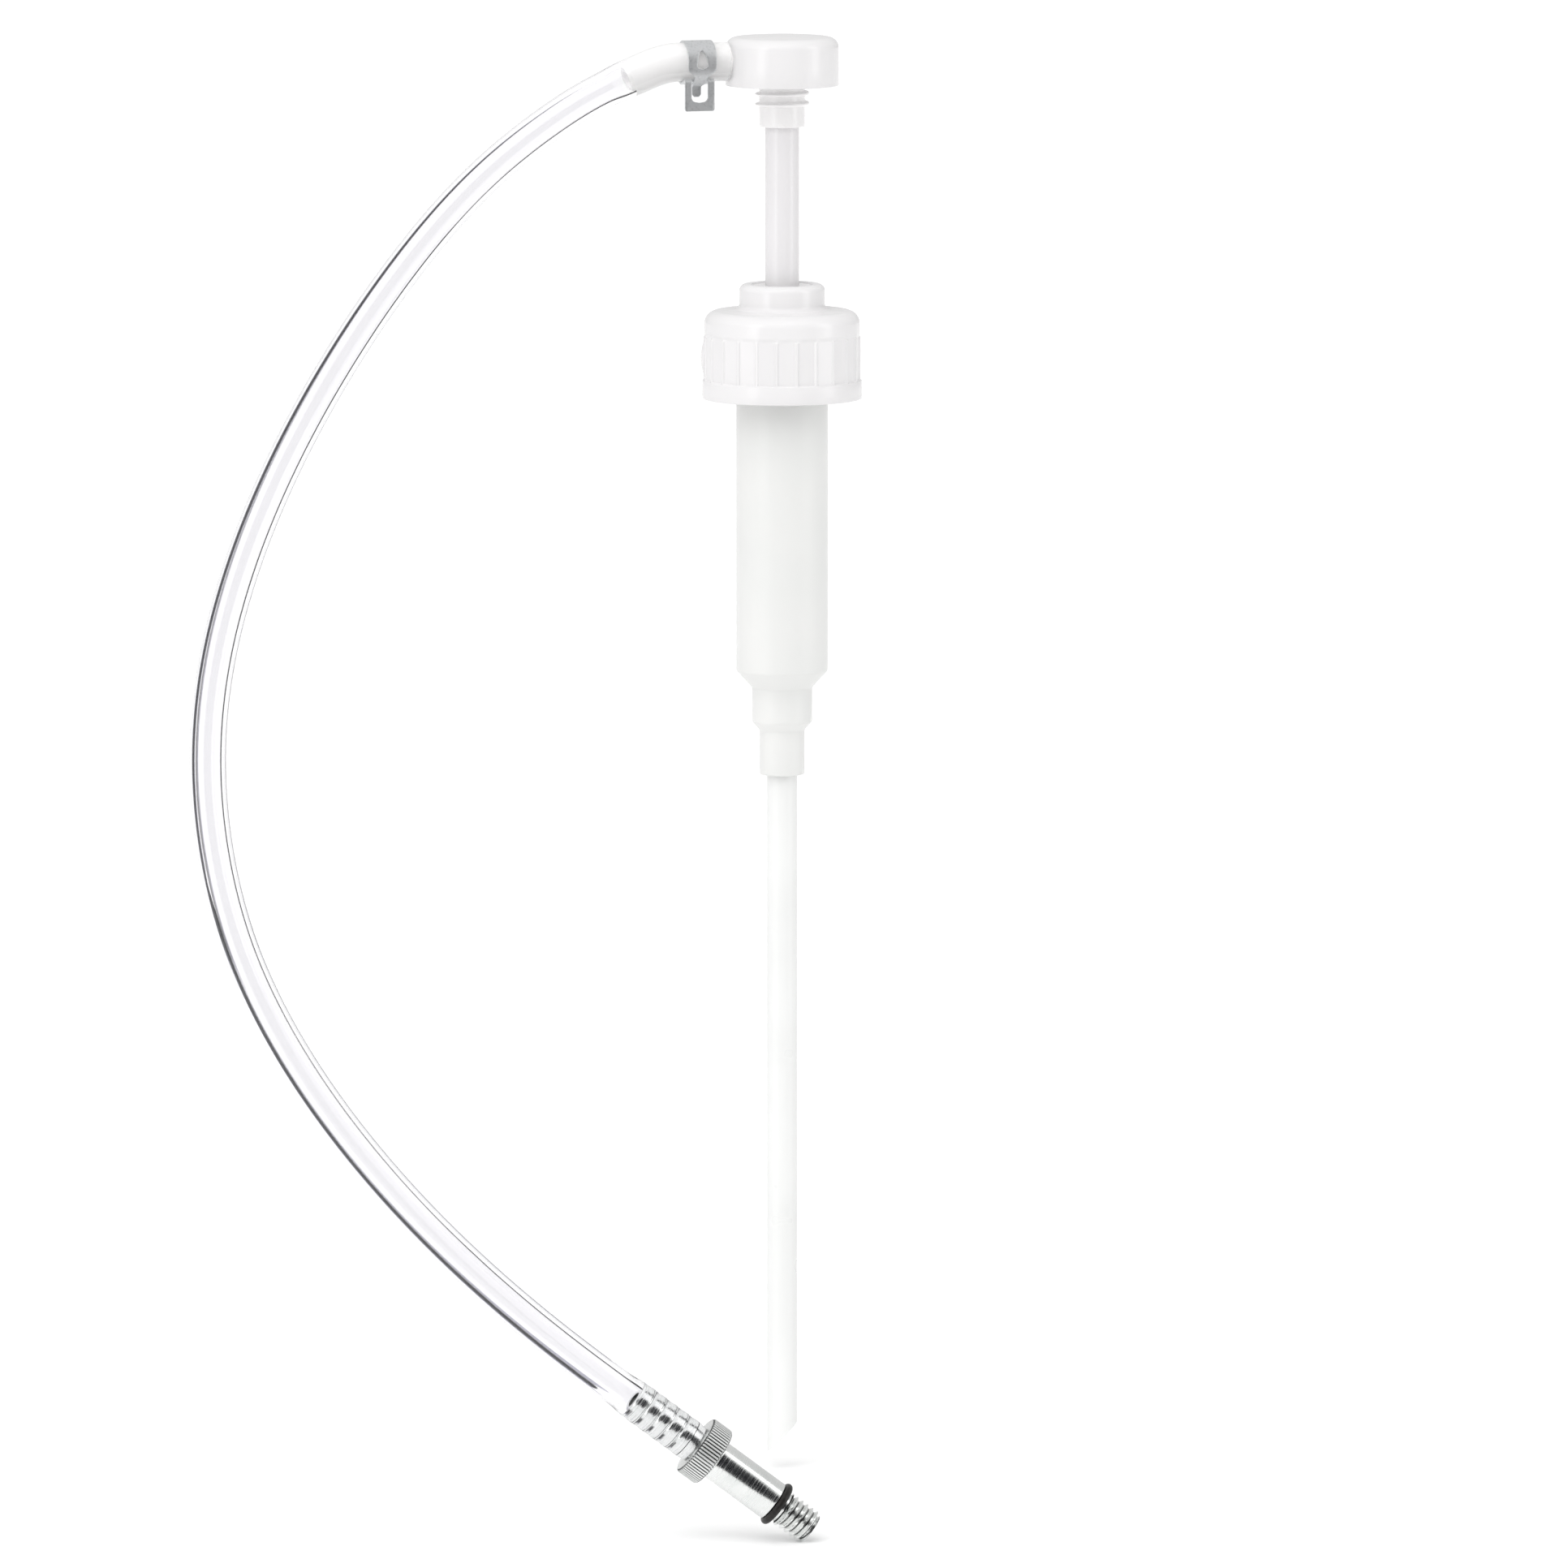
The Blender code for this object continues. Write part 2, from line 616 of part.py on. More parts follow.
lip_inner = SEAL_LIP_RADIUS - 0.4
waist = SEAL_LIP_RADIUS - 0.7
seal = turned(
    "piston_seal",
    [
        (PISTON_CORE_RADIUS + GAP, SEAL_TOP_Z - GAP),
        (SEAL_BODY_RADIUS, SEAL_TOP_Z - GAP),
        (lip_inner, SEAL_TOP_Z + 1.2),
        (SEAL_LIP_RADIUS, SEAL_TOP_Z + 1.2),
        (waist, SEAL_TOP_Z - 2.5),
        (waist, SEAL_BOTTOM_Z + 2.5),
        (SEAL_LIP_RADIUS, SEAL_BOTTOM_Z - 1.2),
        (lip_inner, SEAL_BOTTOM_Z - 1.2),
        (SEAL_BODY_RADIUS, SEAL_BOTTOM_Z + GAP),
        (PISTON_CORE_RADIUS + GAP, SEAL_BOTTOM_Z + GAP),
    ],
    SEAL,
    plunger,
    LARGE_ROUND,
)

outlet_ball_z = web_top + math.sqrt(OUTLET_BALL_RADIUS**2 - OUTLET_PORT_RADIUS**2) + GAP
outlet_ball = ball("outlet_ball", OUTLET_BALL_RADIUS, outlet_ball_z, STAINLESS, plunger)

retainer_bottom = outlet_ball_z + OUTLET_BALL_RADIUS + OUTLET_BALL_LIFT + GAP
retainer = turned(
    "outlet_valve_retainer",
    [
        (RETAINER_BORE, retainer_bottom),
        (STEM_BORE - GAP, retainer_bottom),
        (STEM_BORE - GAP, retainer_bottom + RETAINER_LENGTH),
        (RETAINER_BORE, retainer_bottom + RETAINER_LENGTH),
    ],
    NATURAL,
    plunger,
)

# --- lock collar and head ----------------------------------------------------------------------------

crests = []
for middle in COLLAR_CREST_Z:
    crests += [
        (COLLAR_CORE_RADIUS, middle - 0.9),
        (COLLAR_CREST_RADIUS, middle - 0.35),
        (COLLAR_CREST_RADIUS, middle + 0.35),
        (COLLAR_CORE_RADIUS, middle + 0.9),
    ]
collar = turned(
    "lock_collar",
    [
        (STEM_HOLE_RADIUS, HEAD_BOTTOM_Z - GAP),
        (STEM_HOLE_RADIUS, COLLAR_BOTTOM_Z),
        (COLLAR_CORE_RADIUS - 0.5, COLLAR_BOTTOM_Z),
        (COLLAR_CORE_RADIUS, COLLAR_BOTTOM_Z + 0.5),
        *crests,
        (COLLAR_CORE_RADIUS, HEAD_BOTTOM_Z - GAP),
    ],
    NATURAL,
    plunger,
)

route = hose_route()
head_wall_inner = HEAD_RADIUS - HEAD_WALL
head = turned(
    "pump_head",
    [
        (0, HEAD_TOP_Z + HEAD_CROWN),
        (0, HEAD_BOTTOM_Z),
        (HEAD_HUB_RADIUS, HEAD_BOTTOM_Z),
        (HEAD_HUB_RADIUS, HEAD_TOP_Z - HEAD_ROOF),
        (head_wall_inner, HEAD_TOP_Z - HEAD_ROOF),
        (head_wall_inner, HEAD_BOTTOM_Z),
        (HEAD_RADIUS, HEAD_BOTTOM_Z),
        *arc((HEAD_RADIUS - HEAD_FILLET, HEAD_TOP_Z - HEAD_FILLET), HEAD_FILLET, 0, 90, 5),
    ],
    WHITE,
    plunger,
    LARGE_ROUND,
)
spout_root = SPOUT_DIRECTION * (HEAD_HUB_RADIUS - 1.5) + Vector((0, 0, SPOUT_Z))
spout_line = [spout_root, *route[: SPOUT_STEPS + 1]]
spout_end = route[SPOUT_STEPS] + (route[SPOUT_STEPS] - route[SPOUT_STEPS - 1]).normalized()
cut(head, bar_mesh("spout_outside", spout_line, SPOUT_RADIUS, parent=plunger), "UNION")
cut(head, cylinder("stem_socket_cutter", STEM_HOLE_RADIUS, HEAD_BOTTOM_Z - 1, SPOUT_Z + 3.0, plunger))
channel_line = [Vector((0, 0, SPOUT_Z)), *route[: SPOUT_STEPS + 1], spout_end]
cut(head, bar_mesh("spout_channel_cutter", channel_line, SPOUT_BORE, parent=plunger, resolution=2))

# --- hose clamp --------------------------------------------------------------------------------------

clamp_place = SPOUT_DIRECTION * CLAMP_DISTANCE + Vector((0, 0, SPOUT_Z))
clamp_frame = frame_at("clamp_frame", plunger, clamp_place, SPOUT_DIRECTION)
clamp_outer = CLAMP_INNER_RADIUS + CLAMP_THICKNESS
half_band = CLAMP_WIDTH / 2
clamp = turned(
    "hose_clamp",
    [
        (CLAMP_INNER_RADIUS, -half_band),
        (clamp_outer, -half_band),
        (clamp_outer, half_band),
        (CLAMP_INNER_RADIUS, half_band),
    ],
    GALVANISED,
    clamp_frame,
)
down = clamp_frame.matrix_world.inverted().to_3x3() @ Vector((0, 0, -1))
tab_turn = math.atan2(down.y, down.x)
half_tab = CLAMP_TAB_WIDTH / 2
tab_back = CLAMP_TAB_FORWARD - CLAMP_THICKNESS / 2
tab_front = CLAMP_TAB_FORWARD + CLAMP_THICKNESS / 2
tab_start = math.sqrt((CLAMP_INNER_RADIUS + 0.1) ** 2 - tab_back**2)
tab_end = clamp_outer + CLAMP_TAB_DROP
tab = block("clamp_tab", (tab_start, tab_back, -half_tab), (tab_end, tab_front, half_tab), clamp_frame)
window_low = (tab_start + CLAMP_WINDOW_DROP, tab_back - 1, -half_tab * 0.55)
window_high = (tab_end - CLAMP_WINDOW_SILL, tab_front + 1, half_tab * 0.55)
tab_window = block("clamp_window_cutter", window_low, window_high, clamp_frame)
for piece in (tab, tab_window):
    piece.rotation_euler.z = tab_turn
cut(clamp, tab, "UNION")
cut(clamp, tab_window)

# --- delivery hose -----------------------------------------------------------------------------------

hose = bar_mesh("delivery_hose", route, HOSE_RADIUS, VINYL, plunger, resolution=3)
hose_mouth = route[0] - SPOUT_DIRECTION * 2
socket_end = route[SPOUT_STEPS] + (spout_end - route[SPOUT_STEPS]) * GAP
spout_socket = [hose_mouth, *route[: SPOUT_STEPS], socket_end]
cut(hose, bar_mesh("spout_socket_cutter", spout_socket, SPOUT_RADIUS + GAP, parent=plunger))
barb_socket = cylinder("barb_socket_cutter", BARB_CREST_RADIUS + GAP, -BARB_END - GAP, -KNURL_START, hose_end)
cut(hose, barb_socket)

# --- adapter on the hose's end -----------------------------------------------------------------------

barbs = []
barb_pitch = (BARB_END - KNURL_END - 2.0) / BARB_COUNT
for number in range(BARB_COUNT):
    tip_side = -BARB_END + number * barb_pitch
    barbs += [(BARB_ROOT_RADIUS, tip_side), (BARB_CREST_RADIUS, tip_side + barb_pitch * 0.8)]
hose_barb = turned(
    "hose_barb",
    [
        (BARB_BORE, -BARB_END),
        *barbs,
        (BARB_ROOT_RADIUS, -KNURL_END - 1.8),
        (BARB_ROOT_RADIUS, -KNURL_END),
        (KNURL_RADIUS - EDGE, -KNURL_END),
        (KNURL_RADIUS, -KNURL_END + EDGE),
        (KNURL_RADIUS, -KNURL_START - EDGE),
        (KNURL_RADIUS - EDGE, -KNURL_START),
        (SPIGOT_RADIUS, -KNURL_START),
        (SPIGOT_RADIUS, -SPIGOT_START),
        (BARB_BORE, -SPIGOT_START),
    ],
    ZINC,
    hose_end,
)

threads = []
for number in range(THREAD_TURNS):
    middle = -THREAD_LENGTH + THREAD_PITCH * (number + 0.9)
    threads += [
        (THREAD_ROOT_RADIUS, middle - THREAD_PITCH * 0.42),
        (THREAD_RADIUS, middle - THREAD_PITCH * 0.08),
        (THREAD_RADIUS, middle + THREAD_PITCH * 0.08),
        (THREAD_ROOT_RADIUS, middle + THREAD_PITCH * 0.42),
    ]
adapter = turned(
    "adapter_body",
    [
        (SPIGOT_RADIUS + GAP, -ADAPTER_END),
        (ADAPTER_RADIUS - EDGE, -ADAPTER_END),
        (ADAPTER_RADIUS, -ADAPTER_END + EDGE),
        (ADAPTER_RADIUS, -ADAPTER_SHOULDER),
        (THREAD_ROOT_RADIUS, -ADAPTER_SHOULDER),
        *threads,
        (THREAD_ROOT_RADIUS, 0),
        (ADAPTER_BORE, 0),
        (ADAPTER_BORE, -SPIGOT_START + GAP),
        (SPIGOT_RADIUS + GAP, -SPIGOT_START + GAP),
    ],
    ZINC,
    hose_end,
)

ring = turned(
    "adapter_o_ring",
    arc((RING_RADIUS, -RING_DISTANCE), RING_SECTION, 0, 324, 9),
    NITRILE,
    hose_end,
)
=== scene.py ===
"""The looks of the gear oil pump: fine meshes, materials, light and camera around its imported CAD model.

Sizes are in millimetres and become metres where a mesh is made. Places come from the frame.
"""

import math

import bmesh
import bpy
import numpy as np
from mathutils import Matrix, Vector


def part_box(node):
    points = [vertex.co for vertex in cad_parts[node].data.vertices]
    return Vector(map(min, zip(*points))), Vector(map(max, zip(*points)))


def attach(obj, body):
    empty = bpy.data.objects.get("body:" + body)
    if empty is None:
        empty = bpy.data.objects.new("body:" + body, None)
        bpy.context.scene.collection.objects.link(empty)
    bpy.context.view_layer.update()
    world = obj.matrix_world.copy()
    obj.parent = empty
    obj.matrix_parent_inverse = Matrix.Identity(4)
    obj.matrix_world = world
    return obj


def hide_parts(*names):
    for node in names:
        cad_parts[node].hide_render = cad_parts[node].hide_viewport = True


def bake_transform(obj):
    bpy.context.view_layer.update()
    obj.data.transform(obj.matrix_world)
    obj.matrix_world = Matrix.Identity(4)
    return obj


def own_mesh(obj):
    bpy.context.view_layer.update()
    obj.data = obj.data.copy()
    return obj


MM = 0.001
TURN = math.tau

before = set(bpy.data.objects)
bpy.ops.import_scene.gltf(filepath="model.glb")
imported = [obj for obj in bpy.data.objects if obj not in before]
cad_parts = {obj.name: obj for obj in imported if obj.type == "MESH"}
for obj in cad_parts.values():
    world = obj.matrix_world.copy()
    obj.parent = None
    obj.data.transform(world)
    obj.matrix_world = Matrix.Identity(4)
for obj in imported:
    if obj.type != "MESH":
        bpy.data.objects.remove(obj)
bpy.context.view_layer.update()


def node_span(node, axis):
    """The lowest and highest place of a CAD node along one axis, in millimetres."""
    low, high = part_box(node)
    return low[axis] / MM, high[axis] / MM


# --- places read from the frame ----------------------------------------------------------------------

CAP_MOUTH, TOWER_TOP = node_span("screw_cap", 2)
HEAD_CROWN_TOP = node_span("pump_head", 2)[1]
COLLAR_BOTTOM = node_span("lock_collar", 2)[0]
STEM_BOTTOM, STEM_TOP = node_span("plunger_stem", 2)
BARREL_BOTTOM, BARREL_TOP = node_span("pump_barrel", 2)
TUBE_BOTTOM, TUBE_TOP = node_span("dip_tube", 2)
GASKET_BOTTOM, GASKET_TOP = node_span("neck_gasket", 2)
SPRING_BOTTOM, SPRING_TOP = node_span("return_spring", 2)
FLOOR_Z = node_span("adapter_body", 2)[0] - 0.05

# The head, the spout, the hose's route and the adapter repeat the CAD's own numbers.
HEAD_CROWN = 0.65
HEAD_TOP = HEAD_CROWN_TOP - HEAD_CROWN
HEAD_BOTTOM = 64.2
HEAD_RADIUS = 14.8
SPOUT_Z = 70.7
SPOUT_TURN = math.radians(17)
SPOUT_DIRECTION = Vector((-math.cos(SPOUT_TURN), -math.sin(SPOUT_TURN), 0))
SPOUT_RADIUS = 3.65
SPOUT_LENGTH = 28.6
CLAMP_DISTANCE = 23.2
HOSE_START = 15.1
HOSE_BORE = 3.175
TIP = Vector((7.4, -96.0, -299.6))
TIP_DIRECTION = Vector((0.7953, 0.0603, -0.6032)).normalized()
KNURL_START = 31.2
KNURL_END = 37.3
BARB_END = 57.1
HOSE_BEND = [  # the free part of the hose, from the head down to the floor
    (-38.6, -11.8, 67.4),
    (-47.0, -14.6, 63.7),
    (-59.5, -19.0, 56.3),
    (-75.4, -25.0, 44.0),
    (-97.7, -35.2, 19.6),
    (-114.5, -44.6, -4.7),
    (-128.0, -53.2, -29.0),
    (-138.2, -61.0, -53.3),
    (-144.8, -68.0, -77.6),
    (-147.2, -74.4, -102.0),
    (-145.1, -80.0, -126.5),
    (-138.5, -85.3, -151.0),
    (-126.6, -90.1, -175.3),
    (-109.2, -94.3, -200.0),
    (-86.8, -97.8, -224.5),
    (-58.4, -100.2, -249.4),
]


# --- mesh helpers ------------------------------------------------------------------------------------


def link_new(name, data):
    """A new object in the scene that holds the mesh, light or camera."""
    made = bpy.data.objects.new(name, data)
    bpy.context.scene.collection.objects.link(made)
    return made


def add_mesh(name, points, faces, smooth=35):
    """A new object from points in millimetres, shaded smooth except at edges sharper than the angle."""
    mesh = bpy.data.meshes.new(name)
    mesh.from_pydata([Vector(p) * MM for p in points], [], faces)
    shape = bmesh.new()
    shape.from_mesh(mesh)
    bmesh.ops.remove_doubles(shape, verts=shape.verts, dist=1e-6)
    bmesh.ops.recalc_face_normals(shape, faces=shape.faces)
    shape.to_mesh(mesh)
    shape.free()
    mesh.shade_smooth()
    mesh.set_sharp_from_angle(angle=math.radians(smooth))
    return link_new(name, mesh)


def store_on_points(piece, name, values):
    """Stores a number for each point, which a material reads by the same name."""
    piece.data.attributes.new(name, "FLOAT", "POINT").data.foreach_set("value", values)


def even_angles(count):
    return [TURN * i / count for i in range(count)]


def lathe(name, profile, angles=None, shape=None, smooth=35):
    """A closed outline of (radius, height) points turned about Z. shape(r, z, angle) may move a point."""
    angles = angles or even_angles(128)
    points = []
    for angle in angles:
        for r, z in profile:
            if shape:
                r, z = shape(r, z, angle)
            points.append((r * math.cos(angle), r * math.sin(angle), z))
    count = len(profile)
    faces = []
    for i in range(len(angles)):
        here, there = i * count, (i + 1) % len(angles) * count
        for j in range(count):
            k = (j + 1) % count
            if profile[j][0] == 0 and profile[k][0] == 0:
                continue
            faces.append((here + j, here + k, there + k, there + j))
    return add_mesh(name, points, faces, smooth)


def arc(centre, radius, start, end, steps):
    """Points of a round corner, between two angles in degrees."""
    turn = [math.radians(start + (end - start) * i / steps) for i in range(steps + 1)]
    return [(centre[0] + radius * math.cos(a), centre[1] + radius * math.sin(a)) for a in turn]


def dense(start, end, step):
    """Evenly spaced points from one profile point up to, but not including, the other."""
    count = max(1, round(math.dist(start, end) / step))
    return [
        (start[0] + (end[0] - start[0]) * i / count, start[1] + (end[1] - start[1]) * i / count)
        for i in range(count)
    ]


def tube_outline(bore, radius, bottom, top):
    return [(bore, bottom), (radius, bottom), (radius, top), (bore, top)]


def rounded(profile, radius, steps=3):
    """The same closed outline with each corner rounded by up to the radius."""
    made = []
    for before, corner, after in zip(profile[-1:] + profile[:-1], profile, profile[1:] + profile[:1]):
        b, c, a = (Vector((*p, 0)) for p in (before, corner, after))
        reach = min(radius, (b - c).length * 0.45, (a - c).length * 0.45)
        start = c + (b - c).normalized() * reach
        end = c + (a - c).normalized() * reach
        for i in range(steps + 1):
            t = i / steps
            point = start * (1 - t) ** 2 + c * 2 * t * (1 - t) + end * t**2
            made.append((point.x, point.y))
    return made


def place(piece, point, direction):
    """Moves a piece made along +Z so that its origin is at the point and its +Z along the direction."""
    turn = direction.to_track_quat("Z", "Y").to_matrix().to_4x4()
    piece.data.transform(Matrix.Translation(point * MM) @ turn)
    return piece


def join(piece, other):
    """Makes one solid of the two pieces, under the first one's name."""
    step = piece.modifiers.new("boolean", "BOOLEAN")
    step.operation = "UNION"
    step.object = other
    step.solver = "EXACT"
    bpy.context.view_layer.update()
    made = bpy.data.meshes.new_from_object(piece.evaluated_get(bpy.context.evaluated_depsgraph_get()))
    piece.modifiers.clear()
    piece.data = made
    bpy.data.objects.remove(other, do_unlink=True)
    made.shade_smooth()
    made.set_sharp_from_angle(angle=math.radians(35))


def box_piece(name, low, high):
    corners = [(x, y, z) for x in (low[0], high[0]) for y in (low[1], high[1]) for z in (low[2], high[2])]
    faces = [(0, 1, 3, 2), (4, 6, 7, 5), (0, 4, 5, 1), (2, 3, 7, 6), (0, 2, 6, 4), (1, 5, 7, 3)]
    return add_mesh(name, corners, faces)


def smooth_route(points, start, end, step):
    """Evenly spaced points on the cubic spline through the points, and the distance of each along it.

    The spline leaves along the start direction and arrives along the end direction.
    """
    knots = np.array([tuple(p) for p in points], float)
    span = np.linalg.norm(np.diff(knots, axis=0), axis=1)
    count = len(knots)
    system = np.zeros((count, count))
    right = np.zeros((count, 3))
    system[0, 0] = system[-1, -1] = 1
    right[0], right[-1] = tuple(start), tuple(end)
    for i in range(1, count - 1):
        before, after = span[i - 1], span[i]
        system[i, i - 1 : i + 2] = after, 2 * (before + after), before
        pull = after * (knots[i] - knots[i - 1]) / before + before * (knots[i + 1] - knots[i]) / after
        right[i] = 3 * pull
    slope = np.linalg.solve(system, right)
    t = np.linspace(0, 1, 40, endpoint=False)[:, None]
    fine = [
        (2 * t**3 - 3 * t**2 + 1) * knots[i]
        + (t**3 - 2 * t**2 + t) * span[i] * slope[i]
        + (3 * t**2 - 2 * t**3) * knots[i + 1]
        + (t**3 - t**2) * span[i] * slope[i + 1]
        for i in range(count - 1)
    ]
    fine = np.vstack([*fine, knots[-1:]])
    along = np.concatenate([[0], np.cumsum(np.linalg.norm(np.diff(fine, axis=0), axis=1))])
    wanted = np.linspace(0, along[-1], round(along[-1] / step) + 1)
    return np.column_stack([np.interp(wanted, along, fine[:, k]) for k in range(3)]), wanted


def sweep(name, path, rings, sides=64, hollow=True):
    """A closed skin round a path from rings of (number of the path's point, radius).

    On a hollow piece they go out along the outside and back along the bore, and a solid bar has flat ends.
    """
    path = np.asarray(path, float)
    ahead = np.gradient(path, axis=0)
    ahead /= np.linalg.norm(ahead, axis=1)[:, None]
    side = np.zeros_like(path)
    side[0] = np.cross(ahead[0], (0, 0, 1))
    side[0] /= np.linalg.norm(side[0])
    for i in range(1, len(path)):
        turned = side[i - 1] - ahead[i] * (side[i - 1] @ ahead[i])
        side[i] = turned / np.linalg.norm(turned)
    up = np.cross(side, ahead)
    turn = np.array(even_angles(sides))
    points = [
        path[i] + radius * (side[i] * math.cos(a) + up[i] * math.sin(a)) for i, radius in rings for a in turn
    ]
    faces = []
    for k in range(len(rings) if hollow else len(rings) - 1):
        here, there = k * sides, (k + 1) % len(rings) * sides
        for a in range(sides):
            b = (a + 1) % sides
            faces.append((here + a, here + b, there + b, there + a))
    if not hollow:
        faces += [tuple(range(sides)), tuple(range(len(points) - sides, len(points)))]
    return add_mesh(name, points, faces)


def step_between(value, low, high):
    """0 below low, 1 above high, and a smooth change between them."""
    t = min(max((value - low) / (high - low), 0), 1)
    return t * t * (3 - 2 * t)


# --- materials ---------------------------------------------------------------------------------------


def material(name, **sockets):
    """A Principled material. Each keyword is a socket's name with _ for spaces."""
    made = bpy.data.materials.new(name)
    made.use_nodes = True
    shader = made.node_tree.nodes["Principled BSDF"]
    for key, value in sockets.items():
        socket = shader.inputs[key.replace("_", " ")]
        socket.default_value = (*value, 1.0) if key == "Base_Color" else value
    return made


def object_noise(made, scale, detail):
    """Noise fixed to the object, in cycles per metre."""
    tree = made.node_tree
    coordinates = tree.nodes.new("ShaderNodeTexCoord")
    noise = tree.nodes.new("ShaderNodeTexNoise")
    noise.inputs["Scale"].default_value = scale
    noise.inputs["Detail"].default_value = detail
    tree.links.new(coordinates.outputs["Object"], noise.inputs["Vector"])
    return noise.outputs["Fac"]


def stored(made, name):
    """The number that the mesh stores under the name."""
    mark = made.node_tree.nodes.new("ShaderNodeAttribute")
    mark.attribute_name = name
    return mark.outputs["Fac"]


def add_bump(made, height, distance, strength):
    tree = made.node_tree
    bump = tree.nodes.new("ShaderNodeBump")
    bump.inputs["Distance"].default_value = distance
    bump.inputs["Strength"].default_value = strength
    tree.links.new(height, bump.inputs["Height"])
    tree.links.new(bump.outputs["Normal"], tree.nodes["Principled BSDF"].inputs["Normal"])


def vary_roughness(made, fac, low, high):
    tree = made.node_tree
    spread = tree.nodes.new("ShaderNodeMapRange")
    spread.inputs["From Min"].default_value = 0.3
    spread.inputs["From Max"].default_value = 0.7
    spread.inputs["To Min"].default_value = low
    spread.inputs["To Max"].default_value = high
    tree.links.new(fac, spread.inputs["Value"])
    tree.links.new(spread.outputs["Result"], tree.nodes["Principled BSDF"].inputs["Roughness"])


def vary_colour(made, fac, dark, light, low=0.35, high=0.65):
    tree = made.node_tree
    ramp = tree.nodes.new("ShaderNodeValToRGB")
    ramp.color_ramp.elements[0].position = low
    ramp.color_ramp.elements[0].color = (*dark, 1)
    ramp.color_ramp.elements[1].position = high
    ramp.color_ramp.elements[1].color = (*light, 1)
    tree.links.new(fac, ramp.inputs["Fac"])
    tree.links.new(ramp.outputs["Color"], tree.nodes["Principled BSDF"].inputs["Base Color"])


def moulded_plastic(name, dark, light, roughness, **sockets):
    """Moulded polypropylene: faint flow marks, and a satin skin with a very slight unevenness."""
    made = material(name, IOR=1.49, **sockets)
    vary_colour(made, object_noise(made, 40, 1), dark, light)
    vary_roughness(made, object_noise(made, 120, 2), roughness - 0.03, roughness + 0.04)
    add_bump(made, object_noise(made, 45, 1), 0.0003, 0.1)
    return made


def mark_painted_glow(piece, glow, chosen):
    """Stores a painted glow, standing in for light that comes through a thin wall, where chosen(radius, z) is
    true.
    """
    weights = []
    for corner in piece.data.vertices:
        x, y, z = corner.co / MM
        weights.append(glow if chosen(math.hypot(x, y), z) else 0.0)
    store_on_points(piece, "painted_glow", weights)


def add_painted_glow(made):
    """Adds the painted glow as emission where the mesh is marked, in place of light through translucent
    plastic.
    """
    shader = made.node_tree.nodes["Principled BSDF"]
    shader.inputs["Emission Color"].default_value = (1, 1, 1, 1)
    made.node_tree.links.new(stored(made, "painted_glow"), shader.inputs["Emission Strength"])


white_plastic = moulded_plastic("white_moulded", (0.80, 0.79, 0.795), (0.82, 0.81, 0.815), 0.2)
# White plastic carries the painted glow wherever a mesh marks it.
add_painted_glow(white_plastic)
stem_plastic = moulded_plastic("stem_moulded", (0.775, 0.76, 0.77), (0.79, 0.775, 0.785), 0.2)
# The collar's darker base and even white emission together flatten its shading: a painted glow over the whole
# collar that lifts the shade under its ridges.
collar_plastic = moulded_plastic(
    "collar_moulded_painted_glow",
    (0.70, 0.69, 0.69),
    (0.72, 0.71, 0.71),
    0.24,
    Emission_Color=(1, 0.99, 0.99, 1),
    Emission_Strength=0.16,
)
natural_plastic = moulded_plastic(
    "natural_moulded", (0.87, 0.875, 0.86), (0.90, 0.90, 0.885), 0.32, Transmission_Weight=0.1
)
tube_plastic = moulded_plastic("extruded_tube", (0.84, 0.845, 0.835), (0.87, 0.875, 0.865), 0.3)
seal_plastic = moulded_plastic("soft_seal", (0.62, 0.64, 0.66), (0.68, 0.70, 0.72), 0.45)


def foam_material():
    made = material("closed_cell_foam", Roughness=0.85, Subsurface_Weight=0.2, Subsurface_Scale=0.002)
    vary_colour(made, object_noise(made, 1500, 4), (0.78, 0.78, 0.76), (0.88, 0.88, 0.86))
    add_bump(made, object_noise(made, 2500, 4), 0.0002, 0.7)
    return made


def vinyl_material():
    """Clear extruded vinyl: glass-like and faintly uneven, with a trace of lavender of its own away from the
    spout; the lighter tint over the spout is painted light that brightens the spout seen through it.
    """
    made = material("clear_vinyl", Roughness=0.03, IOR=1.52, Transmission_Weight=1.0)
    # Lavender tint is the hose's own; the lighter tint over the spout is painted light.
    vary_colour(made, stored(made, "over_spout"), (0.970, 0.965, 0.980), (0.985, 0.987, 0.975), 0.0, 1.0)
    add_bump(made, object_noise(made, 70, 2), 0.0002, 0.1)
    return made


def change_where(made, mark, socket, marked):
    """Turns what a socket has, a value or a link, into the marked value where the mesh's own mark says."""
    tree = made.node_tree
    target = tree.nodes["Principled BSDF"].inputs[socket]
    mix = tree.nodes.new("ShaderNodeMix")
    mix.data_type = "RGBA" if target.type == "RGBA" else "FLOAT"
    tree.links.new(stored(made, mark), mix.inputs["Factor"])
    plain, changed = [s for s in mix.inputs if s.type == target.type and s.name in ("A", "B")]
    if target.is_linked:
        tree.links.new(target.links[0].from_socket, plain)
    else:
        plain.default_value = target.default_value
    changed.default_value = marked
    tree.links.new(next(s for s in mix.outputs if s.type == target.type), target)


